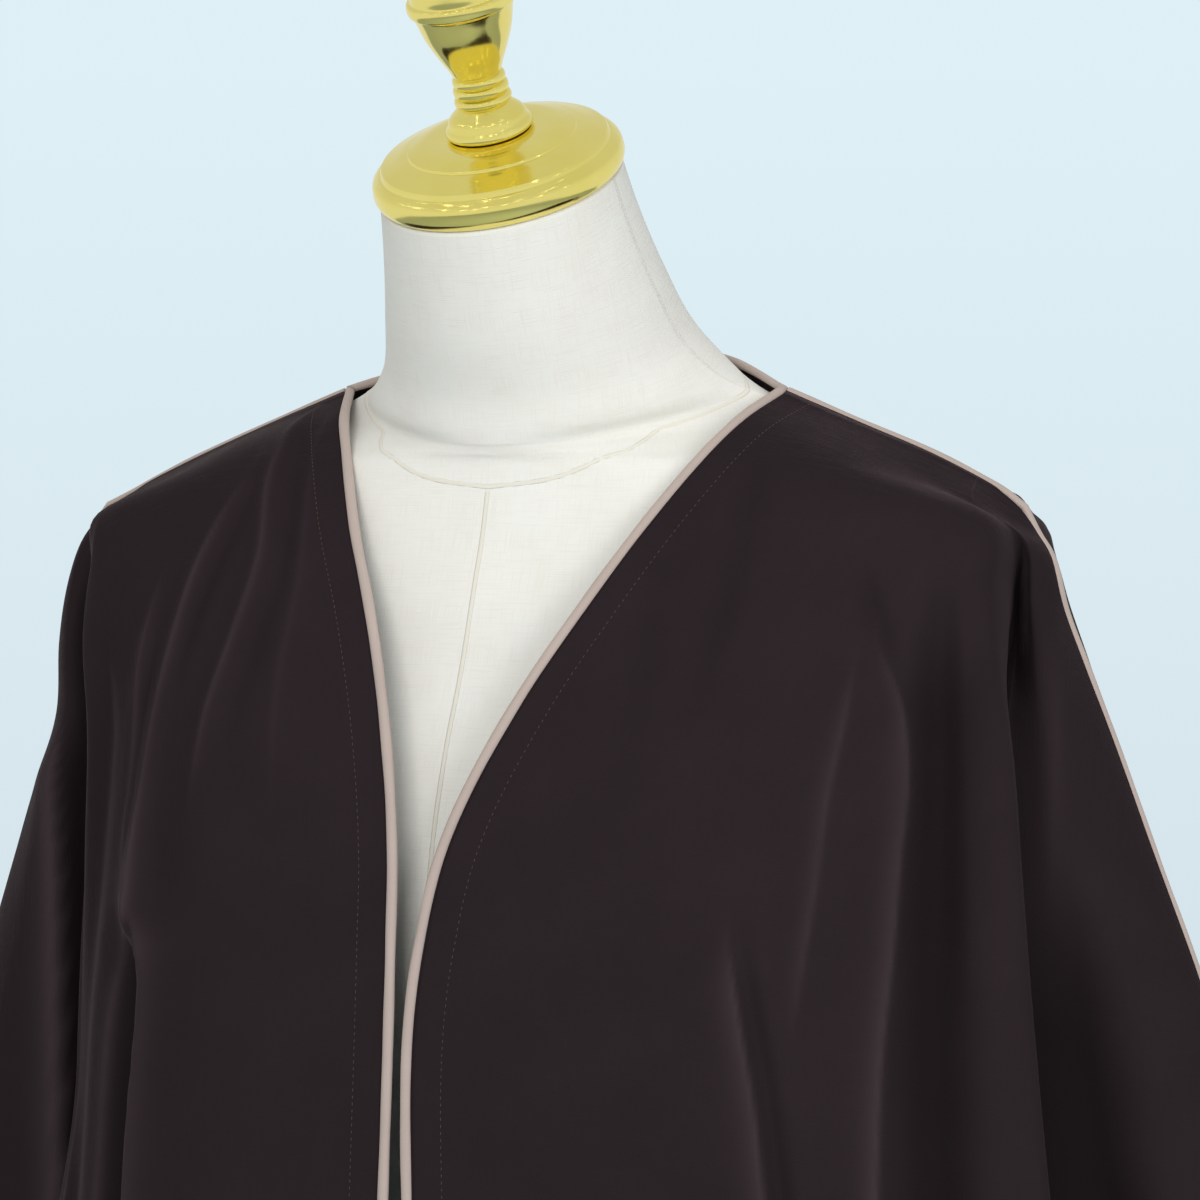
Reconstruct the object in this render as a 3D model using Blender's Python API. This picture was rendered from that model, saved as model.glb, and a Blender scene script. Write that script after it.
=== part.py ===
"""An open-front abaya cloak hanging on a limbless dress form.

The cloak is a kimono cut: two fronts and a back, each cut in one with its half of the sleeves, joined
by an overarm seam with piping in it. More piping finishes both front edges and the back neck. The
form is a padded torso with a gold neck cap and finial, on a pole and a round base.

Units are metres. +Z is up, -Y is the front and +X is the wearer's left. The origin is the centre of
the base's underside. Every cloth surface comes from level rings round the body: a ring runs from the
front edge over the chest, the front fold, the valley behind it, the sleeve front and the overarm
seam, and back over the sleeve to the centre back. Below the underarm it parts into a body ring and a
sleeve ring. Smooth curves join the rings from the shoulder seam down to the hem.
"""
from collections import namedtuple
import math

import bpy
import bmesh
import numpy as np

# ---------------------------------------------------------------- driving dimensions
WALL = 0.0020               # cloth, lined with its own facing weight
MITRE_LIMIT = 2.2           # how many walls deep the inside of a sharp crease may lie
SEAM_GAP = 0.0003           # air between two panels at a plain seam
PIPING_WIDTH = 0.0044       # across the seam
PIPING_THICKNESS = 0.0032   # across the wall
PIPING_SIDES = 6
PIPING_CLEARANCE = 0.0004   # air between piping and cloth

SEAM_EASE = 0.0002          # more air there, for the turns that a faceted seam takes

CUFF_SLOPE = 0.17           # rise of the cuff line per metre, outwards
HEM_Z = 0.045

# Shares of the way from one named point to the next.
CHEST_SHARE = 0.55          # the chest, from the front edge to the front fold
BLADE_SHARE = 0.50          # the shoulder blade, from the neck column to the back fold
NECK_MID_SHARE = 0.55       # the mid neck column, from the centre back to the neck column
NECK_MID_DEPTH = 0.60       # and how far its depth is the centre back's
SLEEVE_PEAK = {"left": 0.50, "right": 0.68}     # where a sleeve's front stands out most
SLEEVE_MIDDLE = 0.50        # the same of its back, and of both at the cuff
SHOULDER_SHARES = (0.0, 0.30, 0.62, 0.80, 0.91, 1.0)    # the columns on the shoulder seam
NECK_MID = (0.059, 0.044, 1.4755)               # back neck, half way round
NECK_CENTRE = (0.0, 0.056, 1.4790)              # nape

# The shoulder seam, from the neck point to the shoulder tip.
SHOULDER_SEAM = {
    "left": ((0.1050, 1.4575), (0.1359, 1.4450), (0.1578, 1.4371), (0.1796, 1.4276), (0.2011, 1.4168),
             (0.2119, 1.4089)),
    "right": ((0.1048, 1.4587), (0.1421, 1.4437), (0.1674, 1.4328), (0.1879, 1.4247), (0.2034, 1.4157),
              (0.2200, 1.4080)),
}
SHOULDER_SEAM_Y = (0.0097, 0.0)                 # at the neck point and at the tip

# Level sections, a row for each, from the shoulder down. Heights are at the overarm seam and at the
# front edge; _left and _right are distances from the middle plane; y is depth, minus to the front.
Front = namedtuple("Front", "seam_z edge_z edge_y edge_left edge_right chest_y "
                            "ridge_y ridge_left ridge_right")
FRONT_SECTIONS = (
    Front(1.3975, 1.4428, -.033, .0992, .0861, -.042, -.035, .1800, .1800),
    Front(1.3880, 1.4280, -.053, .0912, .0745, -.062, -.042, .2110, .2000),
    Front(1.3660, 1.3970, -.079, .0739, .0573, -.085, -.062, .2190, .1935),
    Front(1.3440, 1.3670, -.099, .0582, .0407, -.101, -.070, .2235, .1910),
    Front(1.3150, 1.3315, -.118, .0399, .0254, -.115, -.076, .2285, .1885),
    Front(1.2620, 1.2686, -.138, .0143, .0108, -.130, -.084, .2370, .1893),
    Front(1.2305, 1.2330, -.143, .0077, .0092, -.135, -.087, .2415, .1900),
    Front(1.1000, 1.1000, -.152, .0070, .0096, -.143, -.094, .2570, .1950),
    Front(1.0200, 1.0200, -.156, .0075, .0105, -.148, -.099, .2660, .2040),
    Front(0.7850, 0.7850, -.170, .0105, .0135, -.166, -.120, .2920, .2500),
    Front(0.0450, 0.0450, -.238, .0200, .0230, -.245, -.195, .3800, .3700),
)
# The same rows where front and sleeve meet and at the overarm seam. Below the underarm the valley is
# the side seam.
Sleeve = namedtuple("Sleeve", "valley_y valley_left valley_right seam_left seam_right fullness")
SLEEVE_SECTIONS = (
    Sleeve(-.0250, .1990, .2020, .2180, .2275, .003),
    Sleeve(-.0240, .2165, .2120, .2236, .2330, .004),
    Sleeve(-.0340, .2150, .1990, .2296, .2385, .010),
    Sleeve(-.0370, .2130, .1890, .2384, .2425, .013),
    Sleeve(-.0370, .2110, .1820, .2499, .2460, .015),
    Sleeve(-.0340, .2075, .1780, .2698, .2636, .018),
    Sleeve(-.0300, .2050, .1780, .2820, .2745, .020),
    Sleeve(-.0150, .2010, .1880, .3250, .3180, .027),
    Sleeve(-.0022, .1990, .1990, .3520, .3490, .031),
    Sleeve(0.0000, .2200, .2200, .4250, .4220, .034),
    Sleeve(0.0000, .4400, .4400, .4250, .4220, .036),
)
# The same rows of the back, which is the same on both sides.
Back = namedtuple("Back", "valley_x valley_y ridge_x ridge_y blade_y neck_x neck_y centre_y")
BACK_SECTIONS = (
    Back(.1960, .026, .1800, .038, .044, .108, .045, .066),
    Back(.2100, .028, .1950, .049, .061, .110, .063, .074),
    Back(.2140, .034, .2030, .060, .076, .112, .079, .086),
    Back(.2160, .037, .2060, .069, .086, .113, .089, .095),
    Back(.2140, .038, .2100, .078, .097, .114, .099, .104),
    Back(.2060, .036, .2150, .089, .109, .115, .111, .114),
    Back(.2040, .032, .2190, .094, .114, .115, .115, .118),
    Back(.1990, .015, .2340, .107, .125, .117, .126, .128),
    Back(.1990, .0022, .2440, .113, .131, .119, .132, .134),
    Back(.2200, 0.00, .2850, .134, .154, .125, .156, .157),
    Back(.4400, 0.00, .3900, .205, .240, .150, .250, .250),
)
UNDERARM_ROW = 9            # section rows count from the shoulder seam, which is row 0
CUFF_ROW = 10
SLEEVE_UNDERSIDE = {CUFF_ROW: 0.2420}   # inner corner of the cuff
VALLEY_SOFTNESS = {UNDERARM_ROW - 1: 0.5, UNDERARM_ROW: 0.0}    # the valley creases as it closes
UNDERARM_DROP = 1.5         # how much more down than outwards the underarm point faces

# Folds: outward waves in the cloth. Places are section columns: 0 front edge, 1 chest, 2 front fold,
# 3 side seam, then 4 back fold, 5 blade, 6 neck column, 7 mid neck column, 8 centre back.
# upper and lower are the places at heights top and the hem. depth is reached at height full.
Fold = namedtuple("Fold", "side upper lower top full depth reach")
FOLDS = (
    Fold("left", 1.00, 0.80, 1.250, 1.050, 0.007, 0.22),
    Fold("left", 1.50, 1.45, 1.330, 1.150, 0.005, 0.22),
    Fold("left", 0.35, 0.25, 1.000, 0.100, 0.022, 0.26),
    Fold("left", 0.85, 0.80, 1.100, 0.100, 0.020, 0.26),
    Fold("left", 1.40, 1.45, 1.150, 0.100, 0.028, 0.28),
    Fold("left", 2.45, 2.50, 0.780, 0.100, 0.024, 0.36),
    Fold("right", 1.02, 1.75, 1.385, 1.300, 0.006, 0.22),
    Fold("right", 0.40, 0.35, 1.050, 0.100, 0.024, 0.28),
    Fold("right", 1.00, 0.95, 1.100, 0.100, 0.024, 0.28),
    Fold("right", 2.45, 2.50, 0.780, 0.100, 0.024, 0.36),
    Fold("both", 3.55, 3.50, 0.780, 0.100, 0.024, 0.36),
    Fold("both", 4.50, 4.45, 1.150, 0.100, 0.024, 0.28),
    Fold("both", 5.40, 5.30, 1.200, 0.100, 0.022, 0.28),
    Fold("both", 6.60, 6.50, 1.150, 0.100, 0.026, 0.45),
)

# Mesh steps between one section column and the next, and between one section row and the next.
BODY_STEPS = (6, 6, 4)                  # edge to chest, to front fold, to valley or side seam
SLEEVE_STEPS = (3, 3)                   # valley or underside to sleeve front, to overarm seam
NECK_STEPS = (2, 2)                     # neck column to mid neck, to centre back
ROW_STEPS = (1, 1, 1, 1, 1, 2, 1, 3, 2, 4, 8)

# The form: level rings, leaning forward at the neck. Front and back are half depths. The higher
# front_power and back_power are, the more a ring narrows towards its sides, as over the shoulders.
FormRing = namedtuple("FormRing", "centre_y centre_z half_width front back tilt_deg front_power back_power")
FORM_RINGS = (
    FormRing(-.0519, 1.5443, .0516, .0510, .0510, 28.3, 1.0, 1.0),
    FormRing(-.0450, 1.5300, .0538, .0525, .0525, 27.5, 1.0, 1.0),
    FormRing(-.0290, 1.5000, .0605, .0565, .0575, 26.0, 1.0, 1.0),
    FormRing(-.0130, 1.4760, .0690, .0595, .0600, 23.0, 1.0, 1.0),
    FormRing(-.0030, 1.4620, .0825, .0620, .0565, 20.0, 1.3, 1.0),
    FormRing(0.0040, 1.4554, .0940, .0665, .0510, 17.0, 2.0, 1.3),
    FormRing(0.0060, 1.4496, .1090, .0670, .0510, 13.0, 2.6, 1.5),
    FormRing(0.0000, 1.4376, .1440, .0600, .0590, 6.0, 3.0, 1.8),
    FormRing(0.0000, 1.4267, .1755, .0610, .0670, 2.0, 2.2, 1.6),
    FormRing(0.0000, 1.4120, .1920, .0650, .0720, 1.0, 1.6, 1.3),
    FormRing(0.0000, 1.3960, .1960, .0710, .0760, 0.0, 1.1, 1.1),
    FormRing(0.0000, 1.3750, .1940, .0790, .0810, 0.0, 1.0, 1.0),
    FormRing(0.0000, 1.3450, .1870, .0900, .0860, 0.0, 1.0, 1.0),
    FormRing(0.0000, 1.3050, .1760, .1080, .0910, 0.0, 1.0, 1.0),
    FormRing(0.0000, 1.2550, .1640, .1220, .0930, 0.0, 1.0, 1.0),
    FormRing(0.0000, 1.2050, .1530, .1210, .0890, 0.0, 1.0, 1.0),
    FormRing(0.0000, 1.1400, .1330, .1040, .0800, 0.0, 1.0, 1.0),
    FormRing(0.0000, 1.0600, .1180, .0880, .0760, 0.0, 1.0, 1.0),
    FormRing(0.0000, 0.9900, .1270, .0930, .0860, 0.0, 1.0, 1.0),
    FormRing(0.0000, 0.9100, .1500, .1050, .1020, 0.0, 1.0, 1.0),
    FormRing(0.0000, 0.8400, .1600, .1100, .1100, 0.0, 1.0, 1.0),
    FormRing(0.0000, 0.8000, .1560, .1060, .1060, 0.0, 1.0, 1.0),
    FormRing(0.0000, 0.7870, .1450, .0970, .0970, 0.0, 1.0, 1.0),
)
FORM_SIDES = 32
NECK_TILT = math.radians(28.3)

# Metal parts are turned: (radius, height) up their own axis.
CAP_FOOT = (0.0, -0.0520, 1.5446)       # centre of the cap's underside, just above the neck
CAP_PROFILE = ((0.0, 0.0), (.0498, 0.0), (.0520, .0012), (.0533, .0050), (.0528, .0092), (.0500, .0122),
               (.0486, .0130), (.0478, .0148), (.0440, .0162), (.0360, .0186), (.0352, .0198),
               (.0240, .0226), (.0, .0226))
FINIAL_PROFILE = ((0.0, 0.0), (.0176, 0.0), (.0183, .0026), (.0170, .0048), (.0158, .0075), (.0126, .0106),
                  (.0112, .0128), (.0120, .0145), (.0112, .0162), (.0106, .0180), (.0116, .0197),
                  (.0106, .0214), (.0100, .0232), (.0108, .0248), (.0098, .0266), (.0140, .0340),
                  (.0182, .0440), (.0205, .0530), (.0214, .0555), (.0230, .0570), (.0230, .0592),
                  (.0214, .0606), (.0206, .0640), (.0180, .0720), (.0120, .0790), (.0, .0815))
TURNED_SIDES = 32
JOINT_GAP = 0.0003

POLE_RADIUS = 0.0130
POLE_SIDES = 20
BASE_RADIUS = 0.1600
BASE_SIDES = 48
BASE_PROFILE = ((0.0, 0.0), (BASE_RADIUS - .002, 0.0), (BASE_RADIUS, .002), (BASE_RADIUS, .009),
                (BASE_RADIUS - .005, .014), (.060, .019), (.034, .026), (.0, .026))

COLOURS = {                 # linear RGB, roughness, metallic
    "abaya_crepe": ((0.030, 0.021, 0.023), 0.55, 0.0),
    "piping_satin": ((0.60, 0.50, 0.46), 0.50, 0.0),
    "form_linen": ((0.72, 0.70, 0.62), 0.85, 0.0),
    "polished_gold": ((0.95, 0.68, 0.20), 0.12, 1.0),
}


# ---------------------------------------------------------------- curves and surfaces
def unit(vectors):
    """Vectors scaled to length one."""
    length = np.linalg.norm(vectors, axis=-1, keepdims=True)
    return vectors / np.maximum(length, 1e-12)


def smooth_curve(points, spacing, places, softness=None):
    """Points on a smooth curve through points; a place of 1.5 is half way from point 1 to point 2.

    softness scales the bend at each point: 1 is smooth and 0 is a crease.
    """
    points = np.asarray(points, float)
    spacing = np.asarray(spacing, float).reshape((-1,) + (1,) * (points.ndim - 1))
    slope = (points[1:] - points[:-1]) / spacing
    tangent = np.empty_like(points)
    tangent[0] = slope[0]
    tangent[-1] = slope[-1]
    tangent[1:-1] = (slope[:-1] * spacing[1:] + slope[1:] * spacing[:-1]) / (spacing[:-1] + spacing[1:])
    if softness is not None:
        tangent = tangent * np.asarray(softness, float).reshape((-1,) + (1,) * (points.ndim - 1))
    start = np.clip(np.floor(places).astype(int), 0, len(points) - 2)
    t = (np.asarray(places) - start).reshape((-1,) + (1,) * (points.ndim - 1))
    step = spacing[start]
    return ((2 * t**3 - 3 * t**2 + 1) * points[start] + (t**3 - 2 * t**2 + t) * step * tangent[start]
            + (3 * t**2 - 2 * t**3) * points[start + 1] + (t**3 - t**2) * step * tangent[start + 1])


def through(points, places, softness=None):
    """A smooth curve whose spacing follows the points' own distances, so that it never overshoots."""
    points = np.asarray(points, float)
    spacing = np.sqrt(np.maximum(np.linalg.norm(np.diff(points, axis=0), axis=1), 1e-9))
    return smooth_curve(points, spacing, places, softness)


def places_of(steps, first=0):
    """Curve places with the given number of steps in each stretch."""
    out = [np.array([float(first)])]
    for number, count in enumerate(steps):
        out.append(first + number + np.arange(1, count + 1) / count)
    return np.concatenate(out)


def ramp(value, start, end):
    """0 at start, 1 at end and beyond, with soft ends."""
    t = np.clip((value - start) / (end - start), 0.0, 1.0)
    return t * t * (3 - 2 * t)


# ---------------------------------------------------------------- section rings of one side
def shoulder_row(side):
    """The shoulder seam at the columns edge, chest, fold, valley, sleeve front and tip."""
    seam = np.array(SHOULDER_SEAM[side])
    share = np.array(SHOULDER_SHARES)
    x = seam[0, 0] + (seam[-1, 0] - seam[0, 0]) * share
    y = SHOULDER_SEAM_Y[0] + (SHOULDER_SEAM_Y[1] - SHOULDER_SEAM_Y[0]) * share
    return np.column_stack((x, y, np.interp(x, seam[:, 0], seam[:, 1])))


def control_points(row, side):
    """The named points of section row (1 or more), front edge first, centre back last."""
    front, sleeve, back = FRONT_SECTIONS[row - 1], SLEEVE_SECTIONS[row - 1], BACK_SECTIONS[row - 1]
    edge = (getattr(front, "edge_" + side), front.edge_y)
    ridge = (getattr(front, "ridge_" + side), front.ridge_y)
    chest = (edge[0] + CHEST_SHARE * (ridge[0] - edge[0]), front.chest_y)
    valley = (getattr(sleeve, "valley_" + side), sleeve.valley_y)
    seam = (getattr(sleeve, "seam_" + side), 0.0)
    blade = (back.neck_x + BLADE_SHARE * (back.ridge_x - back.neck_x), back.blade_y)
    neck_mid = (NECK_MID_SHARE * back.neck_x,
                back.neck_y + NECK_MID_DEPTH * (back.centre_y - back.neck_y))
    return {
        "edge": edge, "chest": chest, "ridge": ridge, "valley": valley, "seam": seam,
        "back_valley": (back.valley_x, back.valley_y), "back_ridge": (back.ridge_x, back.ridge_y),
        "blade": blade, "neck": (back.neck_x, back.neck_y), "neck_mid": neck_mid,
        "centre": (0.0, back.centre_y), "centre_mirrored": (-neck_mid[0], neck_mid[1]),
    }


def sleeve_point(inner, seam, peak, fullness, toward):
    """The middle of a sleeve's front or back: between two points, pushed out by its fullness."""
    x = inner[0] + peak * (seam[0] - inner[0])
    y = inner[1] + peak * (seam[1] - inner[1]) + toward * fullness
    return (x, y)


def section_rings(side):
    """Body front, sleeve front, sleeve back and body back of every section row, as lists of rings."""
    peak = SLEEVE_PEAK[side]
    body_places = places_of(BODY_STEPS)
    half = len(body_places) - 1
    top = shoulder_row(side)
    shoulder = through(top, places_of(BODY_STEPS + SLEEVE_STEPS))
    neck_points = (top[0], NECK_MID, NECK_CENTRE, (-NECK_MID[0],) + NECK_MID[1:])
    neck = through(neck_points, places_of(NECK_STEPS))
    climb_front = (shoulder[:, 2] - shoulder[-1, 2]) / (shoulder[0, 2] - shoulder[-1, 2])
    climb_neck = (neck[:, 2] - shoulder[-1, 2]) / (shoulder[0, 2] - shoulder[-1, 2])
    climb_back = np.concatenate((climb_front[::-1], climb_neck[1:]))
    rings = {
        "body_front": [shoulder[:half + 1]],
        "sleeve_front": [shoulder[half:]],
        "sleeve_back": [shoulder[half:][::-1]],
        "body_back": [np.concatenate((shoulder[:half + 1][::-1], neck[1:]))],
    }
    back_steps = SLEEVE_STEPS[::-1] + BODY_STEPS[::-1] + NECK_STEPS
    for row in range(1, len(FRONT_SECTIONS) + 1):
        section = FRONT_SECTIONS[row - 1]
        fullness = SLEEVE_SECTIONS[row - 1].fullness
        p = control_points(row, side)
        rise = section.edge_z - section.seam_z
        if row <= UNDERARM_ROW:
            sleeve_front = sleeve_point(p["valley"], p["seam"], peak, fullness, -1)
            sleeve_back = sleeve_point(p["back_valley"], p["seam"], SLEEVE_MIDDLE, fullness, 1)
            names = [p["edge"], p["chest"], p["ridge"], p["valley"], sleeve_front, p["seam"], sleeve_back,
                     p["back_valley"], p["back_ridge"], p["blade"], p["neck"], p["neck_mid"], p["centre"],
                     p["centre_mirrored"]]
            softness = np.ones(len(names))
            softness[[3, 7]] = VALLEY_SOFTNESS.get(row, 1.0)
            plan = through(names, places_of(BODY_STEPS + SLEEVE_STEPS + back_steps), softness)
            sleeve = sum(SLEEVE_STEPS)
            climb = np.concatenate((climb_front, climb_back[1:]))
            ring = np.column_stack((plan, section.seam_z + rise * climb))
            cuts = np.cumsum((0, half, sleeve, sleeve, len(ring) - 1 - half - 2 * sleeve))
            for name, first, last in zip(rings, (0, cuts[1], cuts[2], cuts[3]), cuts[1:]):
                rings[name].append(ring[first:last + 1])
            continue
        names = [p["edge"], p["chest"], p["ridge"], p["valley"], p["back_ridge"], p["blade"], p["neck"],
                 p["neck_mid"], p["centre"], p["centre_mirrored"]]
        plan = through(names, places_of(BODY_STEPS + BODY_STEPS[::-1] + NECK_STEPS))
        ring = np.column_stack((plan, np.full(len(plan), section.seam_z)))
        rings["body_front"].append(ring[:half + 1])
        rings["body_back"].append(ring[half:])
        if row == CUFF_ROW:
            under = (SLEEVE_UNDERSIDE[row], 0.0)
            sleeve_front = sleeve_point(under, p["seam"], SLEEVE_MIDDLE, fullness, -1)
            sleeve_back = sleeve_point(under, p["seam"], SLEEVE_MIDDLE, fullness, 1)
            loop = (sleeve_back, under, sleeve_front, p["seam"], sleeve_back, under, sleeve_front)
            plan = through(loop, places_of(SLEEVE_STEPS + SLEEVE_STEPS[::-1], first=1))
            z = section.seam_z + CUFF_SLOPE * (plan[:, 0] - 0.5 * (under[0] + p["seam"][0]))
            ring = np.column_stack((plan, z))
            rings["sleeve_front"].append(ring[:sum(SLEEVE_STEPS) + 1])
            rings["sleeve_back"].append(ring[sum(SLEEVE_STEPS):])
    return {name: np.array(rows) for name, rows in rings.items()}


def fold_waves(columns, heights, side):
    """How far the cloth stands out at each place, from the table of folds."""
    out = np.zeros(heights.shape)
    for fold in FOLDS:
        if fold.side not in (side, "both"):
            continue
        share = np.clip((fold.top - heights) / (fold.top - HEM_Z), 0.0, 1.0)
        middle = fold.upper + (fold.lower - fold.upper) * share
        wave = np.exp(-((columns - middle) / fold.reach) ** 2)
        out += fold.depth * ramp(heights, fold.top, fold.full) * wave
    return out


def grid_normals(grid):
    """Outward directions on a grid whose columns run from front to back and rows run down."""
    along = np.gradient(grid, axis=1)
    down = np.gradient(grid, axis=0)
    return unit(np.cross(down, along))


def cloth_side(side):
    """Grids of points and outward normals of one side's four cloth pieces, on +X."""
    tables = section_rings(side)
    sections = {}
    for name, rings in tables.items():
        spacing = np.linalg.norm(np.diff(tables["body_front"], axis=0), axis=2).mean(axis=1)
        steps = ROW_STEPS[:len(rings) - 1]
        sections[name] = smooth_curve(rings, spacing[:len(rings) - 1], places_of(steps))
    underarm = sum(ROW_STEPS[:UNDERARM_ROW])
    sections["sleeve_front"][:underarm + 1, 0] = sections["body_front"][:underarm + 1, -1]
    sections["sleeve_back"][:underarm + 1, -1] = sections["body_back"][:underarm + 1, 0]

    half, sleeve = sum(BODY_STEPS), sum(SLEEVE_STEPS)
    front_columns = places_of(BODY_STEPS)
    back_columns = places_of(BODY_STEPS[::-1] + NECK_STEPS, first=3)
    for name, columns in (("body_front", front_columns), ("body_back", back_columns)):
        grid = sections[name]
        outward = grid_normals(grid)
        outward[..., 2] = 0.0
        grid += unit(outward) * fold_waves(columns[None, :], grid[..., 2], side)[..., None]
    # A seam is one line: where its two sides came out apart, both take the middle.
    for front, back, first, last in (("body_front", "body_back", -1, 0),
                                     ("sleeve_front", "sleeve_back", 0, -1)):
        middle = 0.5 * (sections[front][underarm + 1:, first] + sections[back][underarm + 1:, last])
        sections[front][underarm + 1:, first] = middle
        sections[back][underarm + 1:, last] = middle

    bf, sf = sections["body_front"], sections["sleeve_front"]
    sb, bb = sections["sleeve_back"], sections["body_back"]
    upper = np.concatenate((bf[:underarm + 1], sf[:underarm + 1, 1:], sb[:underarm + 1, 1:],
                            bb[:underarm + 1, 1:]), axis=1)
    upper_n = grid_normals(upper)
    # The shoulder seam's normals are shared by front and back; the tip takes its neighbours'.
    ahead = upper_n[0, :half + sleeve + 1]
    behind = upper_n[0, half + sleeve:2 * (half + sleeve) + 1][::-1]
    shared = unit(ahead + behind)
    shared[-1] = unit(shared[-2] + upper_n[1, half + sleeve])
    # At the underarm point the cloth's outer side faces into the crease and down.
    for column in (half, half + 2 * sleeve):
        beside = unit(upper[underarm, [column - 1, column + 1]] - upper[underarm, column])
        upper_n[underarm, column] = unit(unit(beside.sum(axis=0)) + (0.0, 0.0, -UNDERARM_DROP))
    upper_n[0, :half + sleeve + 1] = shared
    upper_n[0, half + sleeve:2 * (half + sleeve) + 1] = shared[::-1]
    lower = np.concatenate((bf[underarm:], bb[underarm:, 1:]), axis=1)
    lower_n = grid_normals(lower)[1:]
    tube = np.concatenate((sf[underarm:], sb[underarm:, 1:]), axis=1)
    closed = np.concatenate((tube[:, -2:-1], tube, tube[:, 1:2]), axis=1)
    tube_n = grid_normals(closed)[1:, 1:-1]
    cuts = (0, half, half + sleeve, half + 2 * sleeve, upper.shape[1] - 1)
    normals = {
        "body_front": np.concatenate((upper_n[:, :cuts[1] + 1], lower_n[:, :half + 1])),
        "sleeve_front": np.concatenate((upper_n[:, cuts[1]:cuts[2] + 1], tube_n[:, :sleeve + 1])),
        "sleeve_back": np.concatenate((upper_n[:, cuts[2]:cuts[3] + 1], tube_n[:, sleeve:])),
        "body_back": np.concatenate((upper_n[:, cuts[3]:], lower_n[:, half:])),
    }
    return sections, normals, underarm


# ---------------------------------------------------------------- seams
def path_tangents(path):
    """Directions along a line of points."""
    return unit(np.gradient(path, axis=0))


def seam_path(sections, normals):
    """The overarm seam, from the neck point over the shoulder tip down to the cuff."""
    top = np.concatenate((sections["body_front"][0], sections["sleeve_front"][0, 1:]))
    top_n = np.concatenate((normals["body_front"][0], normals["sleeve_front"][0, 1:]))
    down = sections["sleeve_front"][1:, -1]
    down_n = normals["sleeve_front"][1:, -1]
    return np.concatenate((top, down)), np.concatenate((top_n, down_n))


def open_seams(sections, normals, underarm):
    """Draw front and back apart at their seams: for the piping overarm, hair-fine elsewhere."""
    path, path_n = seam_path(sections, normals)
    forward = unit(np.cross(path_tangents(path), path_n))
    if forward[0, 1] > 0:
        forward = -forward
    room = (0.5 * PIPING_WIDTH + PIPING_CLEARANCE) * forward
    body = sections["body_front"].shape[1]
    count = body + sections["sleeve_front"].shape[1] - 1
    seamless = {name: grid.copy() for name, grid in sections.items()}
    for front, back, sign in (("body_front", "body_back", 1), ("sleeve_front", "sleeve_back", -1)):
        for name, way in ((front, 1), (back, -1)):
            top = room[:body] if sign == 1 else room[body - 1:count]
            if way == -1:
                top = top[::-1]
            sections[name][0, :len(top)] = seamless[name][0, :len(top)] + way * top
    down = room[count:]
    sections["sleeve_front"][1:, -1] += down
    sections["sleeve_back"][1:, 0] -= down
    half_gap = 0.5 * (SEAM_GAP + SEAM_EASE)
    for front, back, f_col, b_col in (("body_front", "body_back", -1, 0),
                                      ("sleeve_front", "sleeve_back", 0, -1)):
        line = seamless[front][underarm + 1:, f_col]
        line_n = normals[front][underarm + 1:, f_col]
        across = unit(np.cross(path_tangents(line), line_n))
        across *= -np.sign(across[:, 1:2])
        sections[front][underarm + 1:, f_col] = line + half_gap * across
        sections[back][underarm + 1:, b_col] = line - half_gap * across
    return path, path_n, forward


# ---------------------------------------------------------------- solids
def material(name):
    colour, roughness, metallic = COLOURS[name]
    made = bpy.data.materials.get(name)
    if made is None:
        made = bpy.data.materials.new(name)
        made.use_nodes = True
        shader = made.node_tree.nodes["Principled BSDF"]
        shader.inputs["Base Color"].default_value = colour + (1.0,)
        shader.inputs["Roughness"].default_value = roughness
        shader.inputs["Metallic"].default_value = metallic
    return made


def add_solid(name, vertices, faces, material_name, sharp_degrees=50):
    """A named closed body with its faces turned outwards."""
    mesh = bpy.data.meshes.new(name)
    mesh.from_pydata([tuple(v) for v in np.asarray(vertices).tolist()], [], [tuple(f) for f in faces])
    work = bmesh.new()
    work.from_mesh(mesh)
    bmesh.ops.recalc_face_normals(work, faces=work.faces)
    work.to_mesh(mesh)
    work.free()
    mesh.materials.append(material(material_name))
    mesh.shade_smooth()
    mesh.set_sharp_from_angle(angle=math.radians(sharp_degrees))
    made = bpy.data.objects.new(name, mesh)
    bpy.context.scene.collection.objects.link(made)
    return made


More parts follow.
